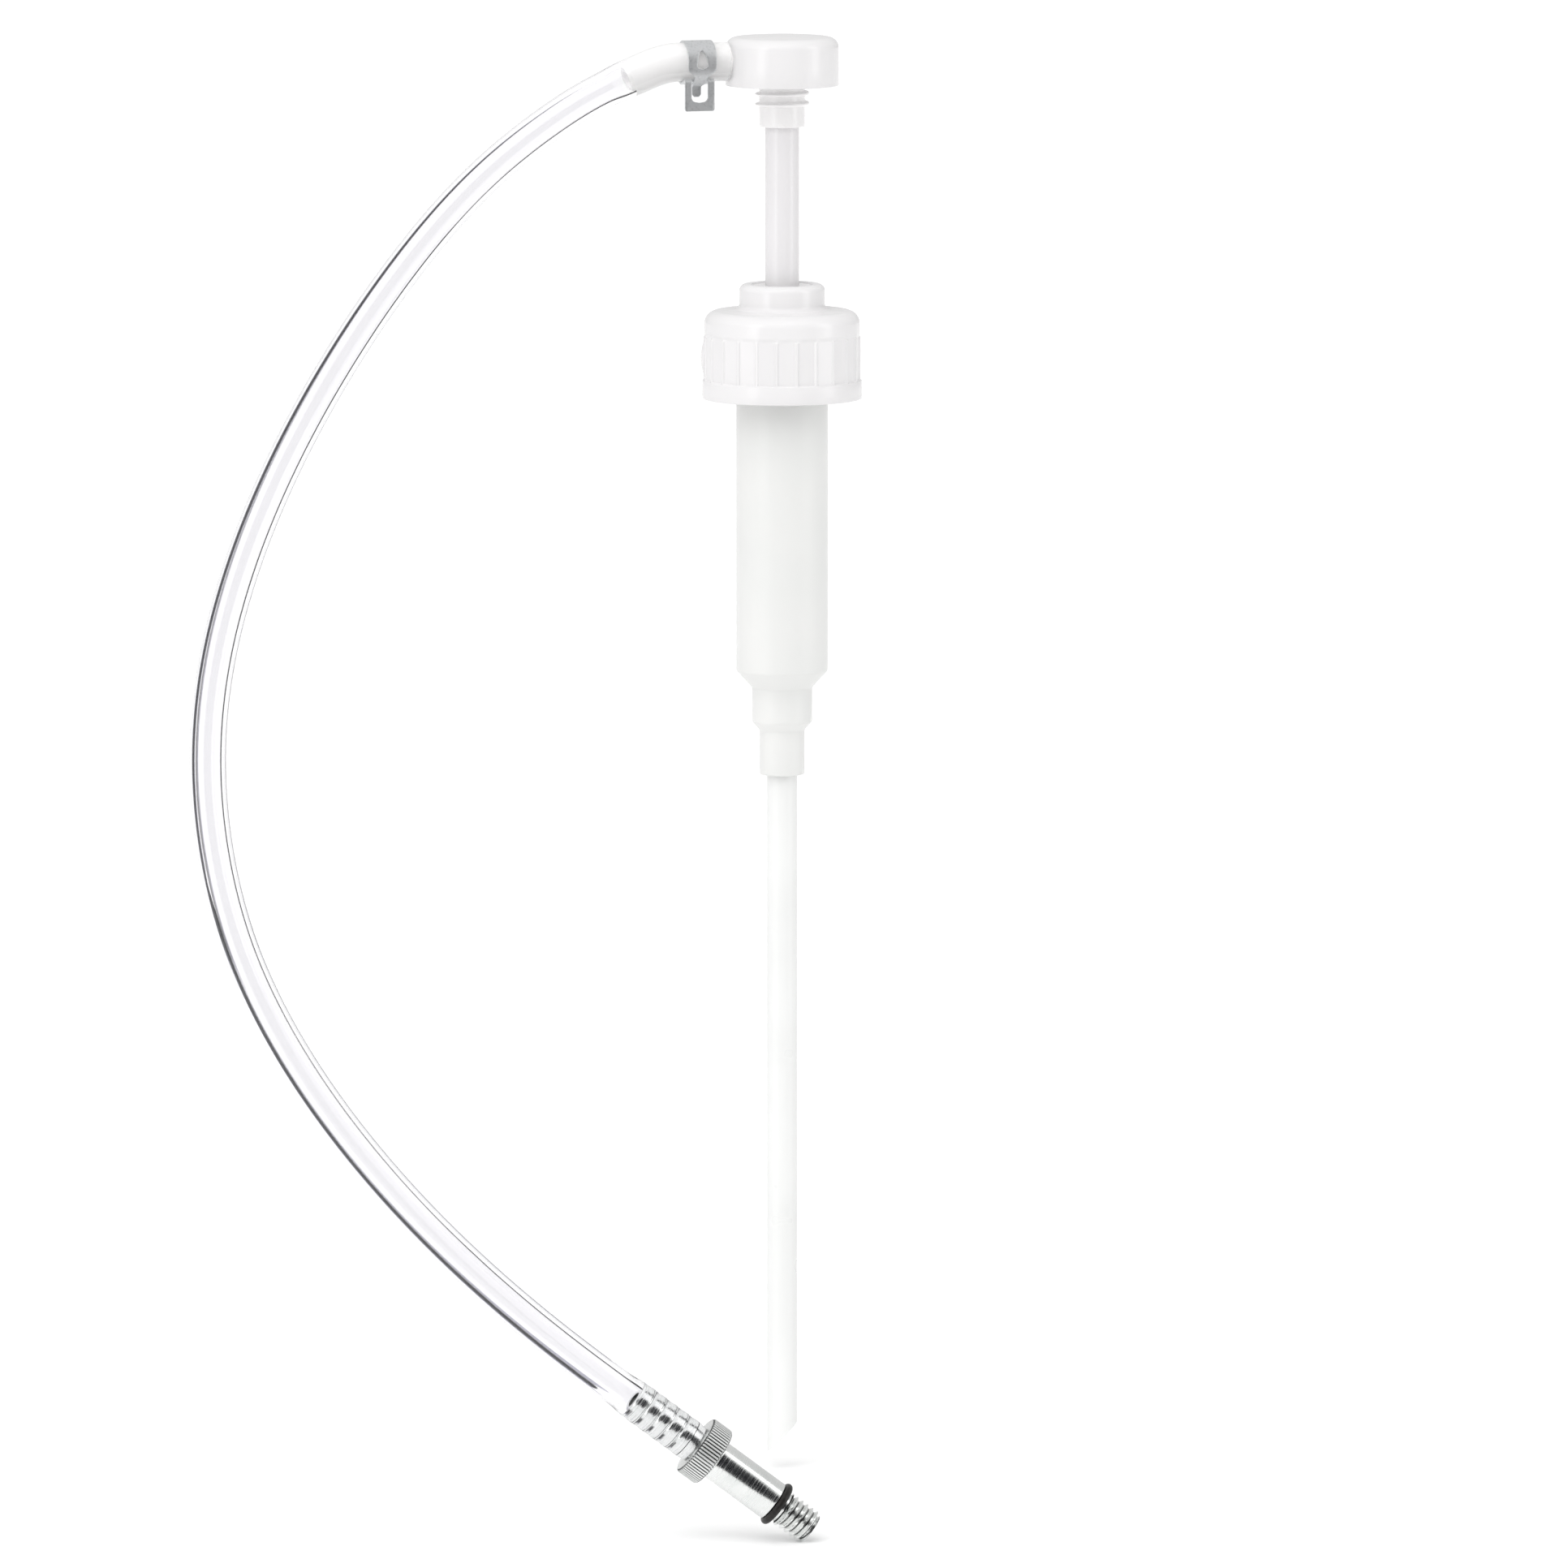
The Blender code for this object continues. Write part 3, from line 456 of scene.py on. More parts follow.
def zinc_material():
    """Bright zinc plate on turned steel: lathe lines round the axis, painted shade in the grooves and a
    rougher knurl.
    """
    made = material("zinc_plate", Anisotropic=0.3, Metallic=1.0)
    tree = made.node_tree
    coordinates = tree.nodes.new("ShaderNodeTexCoord")
    along = tree.nodes.new("ShaderNodeVectorMath")
    along.operation = "DOT_PRODUCT"
    along.inputs[1].default_value = TIP_DIRECTION
    tree.links.new(coordinates.outputs["Object"], along.inputs[0])
    lines = tree.nodes.new("ShaderNodeTexNoise")
    lines.noise_dimensions = "1D"
    lines.inputs["Scale"].default_value = 2600
    lines.inputs["Detail"].default_value = 4
    tree.links.new(along.outputs["Value"], lines.inputs["W"])
    vary_colour(made, object_noise(made, 150, 4), (0.78, 0.80, 0.79), (0.87, 0.88, 0.87), 0.3, 0.6)
    # Painted shade: a near-black base colour in the knurl's grooves and the thread's roots.
    change_where(made, "painted_groove_shade", "Base Color", (0.015, 0.015, 0.018, 1))
    vary_roughness(made, lines.outputs["Fac"], 0.10, 0.34)
    change_where(made, "knurl", "Roughness", 0.5)
    change_where(made, "knurl", "Metallic", 0.6)
    add_bump(made, lines.outputs["Fac"], 0.00003, 0.3)
    return made


def galvanised_material():
    """Dull galvanised strip, with a fine mottled grain."""
    made = material("galvanised_strip", Metallic=0.75)
    vary_colour(made, object_noise(made, 1500, 8), (0.62, 0.63, 0.64), (0.74, 0.75, 0.76), 0.3, 0.5)
    vary_roughness(made, object_noise(made, 500, 4), 0.42, 0.52)
    add_bump(made, object_noise(made, 2500, 4), 0.00003, 0.4)
    return made


def stainless_material():
    made = material("stainless_steel", Metallic=1.0)
    vary_colour(made, object_noise(made, 300, 3), (0.55, 0.55, 0.56), (0.70, 0.70, 0.71))
    vary_roughness(made, object_noise(made, 800, 3), 0.18, 0.3)
    return made


def nitrile_material():
    made = material("nitrile_rubber", Roughness=0.45, Specular_IOR_Level=0.35)
    vary_colour(made, object_noise(made, 900, 4), (0.006, 0.0055, 0.005), (0.016, 0.014, 0.013))
    vary_roughness(made, object_noise(made, 600, 3), 0.3, 0.5)
    add_bump(made, object_noise(made, 4000, 3), 0.00003, 0.6)
    return made


foam = foam_material()
vinyl = vinyl_material()
zinc = zinc_material()
galvanised = galvanised_material()
stainless = stainless_material()
nitrile = nitrile_material()


def dress(piece, surface, body, node):
    """Gives a finished piece its material and body, and hides the CAD node that it stands for."""
    piece.data.materials.clear()
    piece.data.materials.append(surface)
    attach(piece, body)
    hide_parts(node)
    return piece


# --- camera ------------------------------------------------------------------------------------------

CAMERA_PLACE = Vector((0.5, -2970.0, 285.0))
CAMERA_TARGET = Vector((0.5, 0.0, -119.7))
lens = bpy.data.cameras.new("camera")
lens.sensor_width = 36.0
lens.lens = 261.7
lens.clip_start = 0.1
lens.clip_end = 200
camera = link_new("camera", lens)
camera.location = CAMERA_PLACE * MM
camera.rotation_euler = (CAMERA_TARGET - CAMERA_PLACE).to_track_quat("-Z", "Y").to_euler()
bpy.context.scene.camera = camera

# --- delivery hose -----------------------------------------------------------------------------------

ROUTE_STEP = 1.0
HOSE_RADIUS = 4.72  # a little under half the diameter, to stay inside the CAD's own box
HOSE_RIM = 0.25
BARBS = 5
BARB_PITCH = (BARB_END - KNURL_END - 2.0) / BARBS
BARB_SQUEEZE = 3.28  # inner radius on the barbs, which bite into the vinyl as the spout does
SPOUT_SQUEEZE = SPOUT_RADIUS - 0.06

lead = [SPOUT_DIRECTION * r + Vector((0, 0, SPOUT_Z)) for r in (HOSE_START, 22.5, 30.0)]
last = [TIP - TIP_DIRECTION * back for back in (BARB_END, KNURL_END + 0.3)]
route, along = smooth_route([*lead, *HOSE_BEND, *last], SPOUT_DIRECTION, TIP_DIRECTION, ROUTE_STEP)
HOSE_LENGTH = float(along[-1])
shank_start = HOSE_LENGTH - (BARB_END - KNURL_END)
clamp_middle = CLAMP_DISTANCE - HOSE_START


def hose_radii(s):
    """Outer and inner radius at a distance from the head: stretched over the spout and over the barbs."""
    on_spout = 1 - step_between(s, SPOUT_LENGTH - 1.0, SPOUT_LENGTH + 6.0)
    on_barb = step_between(s, shank_start - 5.0, shank_start + 1.0)
    squeeze = 1 - step_between(abs(s - clamp_middle), 3.4, 5.2)
    outer = HOSE_RADIUS + 0.38 * on_spout + 0.48 * on_barb - 0.12 * squeeze
    inner = HOSE_BORE + (SPOUT_SQUEEZE - HOSE_BORE) * on_spout + (BARB_SQUEEZE - HOSE_BORE) * on_barb
    if s > shank_start:
        outer += 0.09 * math.cos(TURN * (s - shank_start) / BARB_PITCH + 1.3)
    return outer, inner


def over_spout(point):
    """1 where the hose is stretched over the spout, and 0 further on."""
    if point.z < 0:
        return 0.0
    return 1 - step_between(-point.x / MM, SPOUT_LENGTH + 8, SPOUT_LENGTH + 16)


last_ring = len(along) - 1
outside = [(i, hose_radii(along[i])[0]) for i in range(last_ring)]
bore = [(i, hose_radii(along[i])[1]) for i in range(last_ring)]
end_outer, end_inner = hose_radii(HOSE_LENGTH)
start_rim = (0, hose_radii(0)[0] - HOSE_RIM)
end_rim = (last_ring, end_outer - HOSE_RIM)
hose = sweep("hose", route, [start_rim, *outside, end_rim, (last_ring, end_inner), *reversed(bore)])
store_on_points(hose, "over_spout", [over_spout(corner.co) for corner in hose.data.vertices])
hose.data.materials.append(vinyl)
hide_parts("delivery_hose")
hose.visible_shadow = False

# --- screw cap ---------------------------------------------------------------------------------------

FLANGE_RADIUS = 21.0
FLANGE_TOP = CAP_MOUTH + 4.6
WALL = 20.35  # outer radius of the cap's plain wall
CAP_BORE = 18.9
CAP_ROOF = 3.8  # the underside of the cap's shoulder
TOWER_RADIUS = 11.2
TOWER_BORE = 9.3
TOWER_HOLE = 7.9
TOWER_LIP = 1.4
RIBS = 24
RIB_PITCH = TURN / RIBS
RIB_HALF = math.radians(1.1)
RIB_FOOT = RIB_HALF * 1.35
RIB_PHASE = math.radians(-94)
RIB_TOP = -1.2
RIB_HEIGHT = 0.24
FLUTE_FLAT = 20.13  # from the axis to the flat between two ribs
NECK_THREAD_PITCH = 4.23
NECK_THREAD_DEPTH = 1.0
BOSS_TURN = math.radians(6)
BOSS_Z = -7.3


def cap_angles():
    """Angles that put an edge loop on each side of each rib."""
    found = []
    for k in range(RIBS):
        middle = RIB_PHASE + RIB_PITCH * k
        gap = RIB_PITCH - 2 * RIB_FOOT
        found += [middle + RIB_HALF * f for f in (-1.35, -1.0, -0.6, 0, 0.6, 1.0, 1.35)]
        found += [middle + RIB_FOOT + gap * i / 6 for i in range(1, 6)]
    return found


def cap_shape(r, z, angle):
    """Ribs and flat flutes on the outside, and the neck's thread inside."""
    if r > 19.5 and FLANGE_TOP - 0.01 < z < RIB_TOP + 1.2:
        off = abs((angle - RIB_PHASE + RIB_PITCH / 2) % RIB_PITCH - RIB_PITCH / 2)
        flute = min(FLUTE_FLAT / math.cos(RIB_PITCH / 2 - off), WALL)
        side = flute + (WALL - flute) * step_between(z, RIB_TOP - 0.2, RIB_TOP + 0.9)
        flange = FLANGE_RADIUS - 0.15
        side = flange + (side - flange) * step_between(z, FLANGE_TOP - 0.01, FLANGE_TOP + 0.5)
        rib = 1 - step_between(off, RIB_HALF * 0.6, RIB_FOOT)
        rib *= 1 - step_between(z, RIB_TOP - 0.6, RIB_TOP + 0.1)
        return max(side, side + (WALL + RIB_HEIGHT - side) * rib), z
    if 18.5 < r < 19.2 and z < 2:
        turns = (2.4 - z) / NECK_THREAD_PITCH
        nearest = abs((turns - (angle / TURN) % 1 + 0.5) % 1 - 0.5) * NECK_THREAD_PITCH
        fade = step_between(turns, 0.8, 0.95) * (1 - step_between(turns, 2.6, 2.75))
        return r - NECK_THREAD_DEPTH * (1 - step_between(nearest, 0.35, 0.95)) * fade, z
    return r, z


cap_profile = [
    (CAP_BORE + 0.25, CAP_MOUTH),
    (FLANGE_RADIUS - 0.3, CAP_MOUTH),
    (FLANGE_RADIUS - 0.07, CAP_MOUTH + 0.12),
    (FLANGE_RADIUS, CAP_MOUTH + 0.35),
    (FLANGE_RADIUS - 0.1, FLANGE_TOP - 0.25),
    (FLANGE_RADIUS - 0.16, FLANGE_TOP - 0.08),
    *dense((WALL, FLANGE_TOP), (WALL, FLANGE_TOP + 0.7), 0.12),
    *dense((WALL, FLANGE_TOP + 0.7), (WALL, RIB_TOP - 0.6), 1.5),
    *dense((WALL, RIB_TOP - 0.6), (WALL, RIB_TOP + 1.2), 0.15),
    *arc((WALL - 3.4, 1.9), 3.4, 0, 86, 14),
    *arc((TOWER_RADIUS + 1.5, 7.12), 1.5, 270, 180, 8),
    *arc((TOWER_RADIUS - 1.8, TOWER_TOP - 1.8), 1.8, 0, 90, 10),
    *arc((TOWER_HOLE + 0.5, TOWER_TOP - 0.5), 0.5, 90, 180, 5),
    (TOWER_HOLE, TOWER_TOP - TOWER_LIP),
    (TOWER_BORE, TOWER_TOP - TOWER_LIP),
    (TOWER_BORE, CAP_ROOF),
    (CAP_BORE - 0.2, CAP_ROOF),
    (CAP_BORE, CAP_ROOF - 0.3),
    *dense((CAP_BORE, 1.95), (CAP_BORE, CAP_MOUTH + 0.3), 0.22),
    (CAP_BORE, CAP_MOUTH + 0.3),
]
cap = lathe("cap", cap_profile, cap_angles(), cap_shape, 40)

# A low round boss on the side, like a ball's cap, that leans a little to the back.
boss_profile = [
    (0, -1.2),
    (5.2, -1.2),
    (5.2, -0.35),
    *arc((4.8, -0.4), 0.4, 10, 70, 4),
    (3.4, 0.55),
    (1.7, 0.9),
    (0, 1.0),
]
boss = lathe("boss", boss_profile, even_angles(64))
boss_direction = Vector((-math.cos(BOSS_TURN), math.sin(BOSS_TURN), 0))
place(boss, boss_direction * WALL + Vector((0, 0, BOSS_Z)), boss_direction)
join(cap, boss)
# Painted glow on the inner wall of the tower's hole, which lifts its shade as light through the thin plastic
# would.
mark_painted_glow(cap, 0.27, lambda r, z: r < TOWER_BORE + 0.1 and CAP_ROOF + 0.1 < z < TOWER_TOP - 0.45)
dress(cap, white_plastic, "cap", "screw_cap")

# --- pump head and spout -----------------------------------------------------------------------------

HEAD_BORE = 13.1
HUB_RADIUS = 7.6
HUB_BORE = 4.75
HUB_DEPTH = 3.9
OIL_WAY = 3.0
SPOUT_BORE = 2.3
SPOUT_ROOT = 4.0  # from the axis, inside the hub
STIFFENERS = 6

head_profile = [
    (0, HEAD_CROWN_TOP),
    (4, HEAD_CROWN_TOP - 0.07),
    (8, HEAD_CROWN_TOP - 0.3),
    *arc((HEAD_RADIUS - 2.9, HEAD_TOP - 2.85), 2.9, 86, 0, 14),
    (HEAD_RADIUS, HEAD_BOTTOM + 5),
    (HEAD_RADIUS, HEAD_BOTTOM + 0.3),
    (HEAD_RADIUS - 0.08, HEAD_BOTTOM + 0.08),
    (HEAD_RADIUS - 0.3, HEAD_BOTTOM),
    (HEAD_BORE + 0.3, HEAD_BOTTOM),
    (HEAD_BORE + 0.1, HEAD_BOTTOM + 0.2),
    (HEAD_BORE, HEAD_TOP - 3.0),
    (HEAD_BORE - 1.0, HEAD_TOP - 2.0),
    (HUB_RADIUS + 1.0, HEAD_TOP - 2.0),
    (HUB_RADIUS, HEAD_TOP - 3.0),
    (HUB_RADIUS, HEAD_BOTTOM + 0.2),
    (HUB_RADIUS - 0.2, HEAD_BOTTOM),
    (HUB_BORE, HEAD_BOTTOM),
    (HUB_BORE, HEAD_BOTTOM + HUB_DEPTH),
    (OIL_WAY, HEAD_BOTTOM + HUB_DEPTH),
    (OIL_WAY, SPOUT_Z + 2.6),
    (0, SPOUT_Z + 3.2),
]
head = lathe("head", head_profile, even_angles(160))
for k in range(STIFFENERS):  # under the head, three on each side of the spout
    turn = SPOUT_TURN + math.pi + TURN * (k + 0.5) / STIFFENERS
    low = (HUB_RADIUS - 0.3, -0.6, HEAD_BOTTOM + 1.5)
    high = (HEAD_BORE + 0.3, 0.6, HEAD_TOP - 1.5)
    rib = box_piece("rib", low, high)
    rib.data.transform(Matrix.Rotation(turn, 4, "Z"))
    join(head, rib)

root = SPOUT_DIRECTION * SPOUT_ROOT + Vector((0, 0, SPOUT_Z))
inside = [tuple(root.lerp(Vector(route[0]), f)) for f in np.linspace(0, 1, 9, endpoint=False)]
spout_path = np.vstack([inside, route[: int(SPOUT_LENGTH) + 1]])
final = len(spout_path) - 1
spout_rings = [
    *[(i, SPOUT_RADIUS) for i in range(final)],
    (final, SPOUT_RADIUS - 0.35),
    (final, SPOUT_BORE + 0.15),
    *[(i, SPOUT_BORE) for i in range(final - 1, -1, -1)],
]
join(head, sweep("spout", spout_path, spout_rings))
# Painted glow on the spout, which brightens it where it sits inside the hose.
mark_painted_glow(head, 0.2, lambda r, z: r > HEAD_RADIUS + 0.1)
dress(head, white_plastic, "plunger", "pump_head")

# --- lock collar -------------------------------------------------------------------------------------

COLLAR_RADIUS = 6.0
COLLAR_BORE = 4.6
COLLAR_TOP = HEAD_BOTTOM - 0.02
RIDGES = (59.45, 62.1)
RIDGE_HEIGHT = 1.08


def collar_shape(r, z, angle):
    """Two nearly level ridges, which thicken towards the right and stop at the back."""
    if r < COLLAR_RADIUS - 0.1:
        return r, z
    from_back = abs((angle - math.radians(90) + math.pi) % TURN - math.pi)
    height = RIDGE_HEIGHT * step_between(from_back, math.radians(12), math.radians(28))
    half = 0.46 + 0.12 * (1 + math.cos(angle))
    for middle in RIDGES:
        off = abs(z - middle - 0.13 * math.cos(angle)) / half
        if off < 1:
            return r + height * (1 - off**2.4) ** 0.7, z
    return r, z


collar_profile = [
    (COLLAR_BORE, COLLAR_TOP),
    (COLLAR_BORE, COLLAR_BOTTOM + 0.2),
    (COLLAR_BORE + 0.2, COLLAR_BOTTOM),
    (COLLAR_RADIUS - 0.5, COLLAR_BOTTOM),
    *arc((COLLAR_RADIUS - 0.5, COLLAR_BOTTOM + 0.5), 0.5, 290, 360, 4),
    *dense((COLLAR_RADIUS, COLLAR_BOTTOM + 1), (COLLAR_RADIUS, COLLAR_TOP), 0.1),
    (COLLAR_RADIUS, COLLAR_TOP),
]
collar = lathe("collar", collar_profile, even_angles(144), collar_shape, 50)
dress(collar, collar_plastic, "plunger", "lock_collar")

# --- stem --------------------------------------------------------------------------------------------

STEM_RADIUS = 4.45
STEM_BORE = 2.9
stem_profile = rounded(tube_outline(STEM_BORE, STEM_RADIUS, STEM_BOTTOM, STEM_TOP), 0.3)
stem = lathe("stem", stem_profile, even_angles(96))
dress(stem, stem_plastic, "plunger", "plunger_stem")

# --- gasket, barrel and dip tube ---------------------------------------------------------------------

GASKET_BORE = 12.3
GASKET_RADIUS = 18.4
gasket_profile = rounded(tube_outline(GASKET_BORE, GASKET_RADIUS, GASKET_BOTTOM, GASKET_TOP), 0.15)
gasket = lathe("gasket", gasket_profile, even_angles(128))
dress(gasket, foam, "housing", "neck_gasket")

BARREL_BORE = 10.9
BARREL_RADIUS = 12.0
BARREL_FLANGE = 17.8
FLANGE_UNDERSIDE = GASKET_TOP + 0.3
CYLINDER_END = -88.5  # below it the barrel steps down to the valve's chamber and the tube's socket
CHAMBER_BORE = 6.2
CHAMBER_RADIUS = 7.9
CHAMBER_END = -101.5
INLET_BORE = 2.4
TUBE_SOCKET = 4.3
TUBE_SOCKET_TOP = -104.6
SOCKET_WALL = 5.9

barrel_profile = [
    (BARREL_BORE, BARREL_TOP),
    (BARREL_BORE, CYLINDER_END),
    (CHAMBER_BORE, CYLINDER_END),
    (CHAMBER_BORE, CHAMBER_END),
    (INLET_BORE, CHAMBER_END),
    (INLET_BORE, TUBE_SOCKET_TOP),
    (TUBE_SOCKET, TUBE_SOCKET_TOP),
    (TUBE_SOCKET, BARREL_BOTTOM),
    (SOCKET_WALL, BARREL_BOTTOM),
    (SOCKET_WALL, TUBE_SOCKET_TOP - 0.6),
    (CHAMBER_RADIUS, CHAMBER_END - 1.5),
    (CHAMBER_RADIUS, CYLINDER_END - 5.5),
    (BARREL_RADIUS, CYLINDER_END - 1.0),
    (BARREL_RADIUS, FLANGE_UNDERSIDE),
    (BARREL_FLANGE, FLANGE_UNDERSIDE),
    (BARREL_FLANGE, BARREL_TOP),
]
barrel = lathe("barrel", rounded(barrel_profile, 0.5), even_angles(144))
dress(barrel, natural_plastic, "housing", "pump_barrel")

TUBE_RADIUS = 3.95
TUBE_BORE = 2.9


def slant_cut(r, z, angle):
    """The tube's foot, cut at 45 degrees."""
    return r, z + (r * math.cos(angle) + TUBE_RADIUS if z < TUBE_BOTTOM + 1 else 0)


tube_profile = tube_outline(TUBE_BORE, TUBE_RADIUS, TUBE_BOTTOM, TUBE_TOP)
dip_tube = lathe("dip_tube_fine", tube_profile, even_angles(96), slant_cut)
dress(dip_tube, tube_plastic, "housing", "dip_tube")

# --- hose clamp --------------------------------------------------------------------------------------

STRIP = 0.7  # thickness
STRIP_HALF = 3.82  # half the band's width
BAND = 5.42  # radius of the band's middle surface
FOLD = 0.75  # radius of the fold between the tab and the band
FOLD_RUN = 9.0  # along the strip from the tab's foot to the fold
TAB_HALF = 4.0
TAB_SKEW = -0.45
TAB_ANGLE = math.radians(33)
TAB_FOOT = -12.45
WINDOW_SILL = 2.35
WINDOW_CORNER = 1.3
WINDOW_HALF = 2.2
DROP_HALF = 1.45
TONGUE_ANGLE = math.radians(52)
TONGUE_HALF = 1.82
HOOK_RUN = 4.2
HOOK_SHIFT = -0.75
FRONT = Vector((math.sin(SPOUT_TURN), -math.cos(SPOUT_TURN), 0))


def line_length(line):
    return sum(math.dist(a, b) for a, b in zip(line, line[1:]))


def clamp_path():
    """The strip's middle line across the hose, as (towards the front, up), from the tab's foot.

    It climbs the tab, folds back, passes under and behind the hose, and comes down its front to the hook.
    """
    start = Vector((BAND * math.sin(TAB_ANGLE), -BAND * math.cos(TAB_ANGLE)))
    middle = start + Vector((math.sin(TAB_ANGLE), -math.cos(TAB_ANGLE))) * FOLD
    line = [(middle.x + FOLD, z) for z in np.arange(TAB_FOOT, middle.y, 0.2)]
    line += arc(middle, FOLD, 0, 90 + math.degrees(TAB_ANGLE), 12)
    sweep_end = TURN - TONGUE_ANGLE
    turn = np.linspace(-TAB_ANGLE, sweep_end, 170)[1:]
    line += [(-BAND * math.sin(a), -BAND * math.cos(a)) for a in turn]
    ahead = Vector((-math.cos(sweep_end), math.sin(sweep_end)))
    corner = Vector(line[-1]) + ahead * 3.2
    line += [tuple(Vector(line[-1]) + ahead * t) for t in np.arange(0.3, 3.0, 0.3)]
    line += [tuple(corner.lerp(corner + Vector((-0.25, -1)), t)) for t in (0.2, 0.5, 0.9)]
    line += [tuple(corner + Vector((-0.25, -1 - 0.25 * t))) for t in range(1, 9)]
    return line


def tab_widths(run):
    """Half width, half opening and sideways shift on the tab, whose rounded window runs on to the fold."""
    half = TAB_HALF - 0.3 * (1 - step_between(run, 0, 0.4))
    if run <= WINDOW_SILL:
        return half, 0.0, TAB_SKEW
    below = WINDOW_CORNER - min(run - WINDOW_SILL, WINDOW_CORNER)
    opening = WINDOW_HALF - WINDOW_CORNER + math.sqrt(WINDOW_CORNER**2 - below**2)
    return half, opening * (1 - step_between(run, FOLD_RUN - 0.8, FOLD_RUN)), TAB_SKEW


def front_widths(angle, left):
    """The same three on the band's front and the tongue, from the angle in degrees and the length left."""
    opening = 0.0
    t = (angle - 234) / 50
    if 0 < t < 1:  # a drop with its point up
        opening = DROP_HALF * min(1, (t / 0.75) ** 0.45) * math.sqrt(1 - max(0, (t - 0.84) / 0.16) ** 2)
    if left >= HOOK_RUN:
        return STRIP_HALF - (STRIP_HALF - TONGUE_HALF) * step_between(angle, 286, 311), opening, 0.0
    hook = 1 - step_between(left, HOOK_RUN - 1.4, HOOK_RUN)
    tip = 1 - step_between(left, 0, 0.7)
    return TONGUE_HALF - 0.02 - 0.6 * hook - 0.5 * tip, opening, HOOK_SHIFT * hook


def clamp_strip():
    """The galvanised strip with its tab and window, its band with a drop-shaped hole, and its tongue."""
    line = clamp_path()
    left = line_length(line)
    middle = SPOUT_DIRECTION * CLAMP_DISTANCE + Vector((0, 0, SPOUT_Z))
    right = -SPOUT_DIRECTION
    points, faces, run, past_fold = [], [], 0.0, False
    across = 6
    for number, (front, up) in enumerate(line):
        if number:
            step = math.dist(line[number - 1], line[number])
            run += step
            left -= step
        angle = math.degrees(math.atan2(-front, -up)) % 360
        past_fold = past_fold or (run > FOLD_RUN and angle < 180)
        if not past_fold:
            half, opening, shift = tab_widths(run)
        elif angle < 200:
            half, opening, shift = STRIP_HALF, 0.0, TAB_SKEW * (1 - step_between(angle, 0, 200))
        else:
            half, opening, shift = front_widths(angle, left)
        base = middle + FRONT * front + Vector((0, 0, up))
        for sign in (-1, 1):
            for i in range(across):
                aside = opening + (half - opening) * i / (across - 1)
                points.append(base + right * (sign * aside + shift))
    for k in range(len(line) - 1):
        for side in (0, 1):
            a, b = (2 * k + side) * across, (2 * k + 2 + side) * across
            faces += [(a + i, a + i + 1, b + i + 1, b + i) for i in range(across - 1)]
    strip = add_mesh("clamp", points, faces)
    solid = strip.modifiers.new("thickness", "SOLIDIFY")
    solid.thickness = STRIP * MM
    solid.offset = 0
    solid.use_even_offset = True
    soften = strip.modifiers.new("edges", "BEVEL")
    soften.width = 0.1 * MM
    soften.segments = 2
    soften.limit_method = "ANGLE"
    soften.angle_limit = math.radians(50)
    return strip


clamp = clamp_strip()
dress(clamp, galvanised, "plunger", "hose_clamp")

# --- barbed fitting and adapter ----------------------------------------------------------------------

KNURLS = 60
KNURL_RADIUS = 8.25
KNURL_ROOT = 7.6
KNURL_DEPTH = 0.6
BARB_ROOT = 3.38
BARB_CREST = 3.75
FITTING_BORE = 2.2
SPIGOT_RADIUS = 3.3
SPIGOT_END = 24.2


def knurl_shape(r, z, angle):
    """Straight grooves round the collar, with flat ridges between them."""
    if r < KNURL_ROOT:
        return r, z
    off = abs((angle * KNURLS / TURN) % 1 - 0.5) * 2
    return max(KNURL_ROOT, r - KNURL_DEPTH * step_between(off, 0.46, 0.80)), z


def mark_groove_shade_and_knurl(piece, start, end, low, high, knurled):
    """Stores the painted shade in the grooves between two heights, from the high radius to the low, and the
    knurl.
    """
    groove_shades, knurls = [], []
    for corner in piece.data.vertices:
        r = math.hypot(corner.co.x, corner.co.y) / MM
        inside = start < corner.co.z / MM < end and r > low - 0.1
        groove_shades.append(1 - step_between(r, low, high) if inside else 0.0)
        knurls.append(1.0 if inside and knurled else 0.0)
    store_on_points(piece, "painted_groove_shade", groove_shades)
    store_on_points(piece, "knurl", knurls)


def barb_profile():
    """The barbed shank, the knurled collar and the spigot, from the hose's side to the adapter's."""
    line = [(FITTING_BORE, -BARB_END)]
    for k in range(BARBS):
        start = -BARB_END + k * BARB_PITCH
        line += [(BARB_ROOT, start), (3.5, start + 0.2), (3.6, start + BARB_PITCH * 0.35)]
        line += [(BARB_CREST - 0.03, start + BARB_PITCH * 0.72), (BARB_CREST, start + BARB_PITCH * 0.80)]
        line.append((BARB_CREST - 0.03, start + BARB_PITCH * 0.86))
        line.append((BARB_ROOT + 0.02, start + BARB_PITCH * 0.93))
    line += [(BARB_ROOT, -KNURL_END - 1.9), (BARB_ROOT, -KNURL_END)]
    line += [(5.2, -KNURL_END), (KNURL_ROOT - 0.05, -KNURL_END)]
    line += dense((KNURL_ROOT + 0.1, -KNURL_END + 0.03), (KNURL_RADIUS - 0.05, -KNURL_END + 0.5), 0.12)
    line += dense((KNURL_RADIUS, -KNURL_END + 0.6), (KNURL_RADIUS, -KNURL_START - 0.6), 0.5)
    line += dense((KNURL_RADIUS - 0.05, -KNURL_START - 0.5), (KNURL_ROOT + 0.1, -KNURL_START - 0.03), 0.12)
    line += [(KNURL_ROOT - 0.05, -KNURL_START), (SPIGOT_RADIUS, -KNURL_START)]
    line += [(SPIGOT_RADIUS, -SPIGOT_END), (FITTING_BORE, -SPIGOT_END)]
    return line


barb = lathe("barb", barb_profile(), even_angles(KNURLS * 12), knurl_shape, 30)
# Painted shade in the grooves between the knurl's ridges.
mark_groove_shade_and_knurl(barb, -KNURL_END + 0.1, -KNURL_START - 0.1, 7.85, 8.2, True)
place(barb, TIP, TIP_DIRECTION)
dress(barb, zinc, "hose_end", "hose_barb")

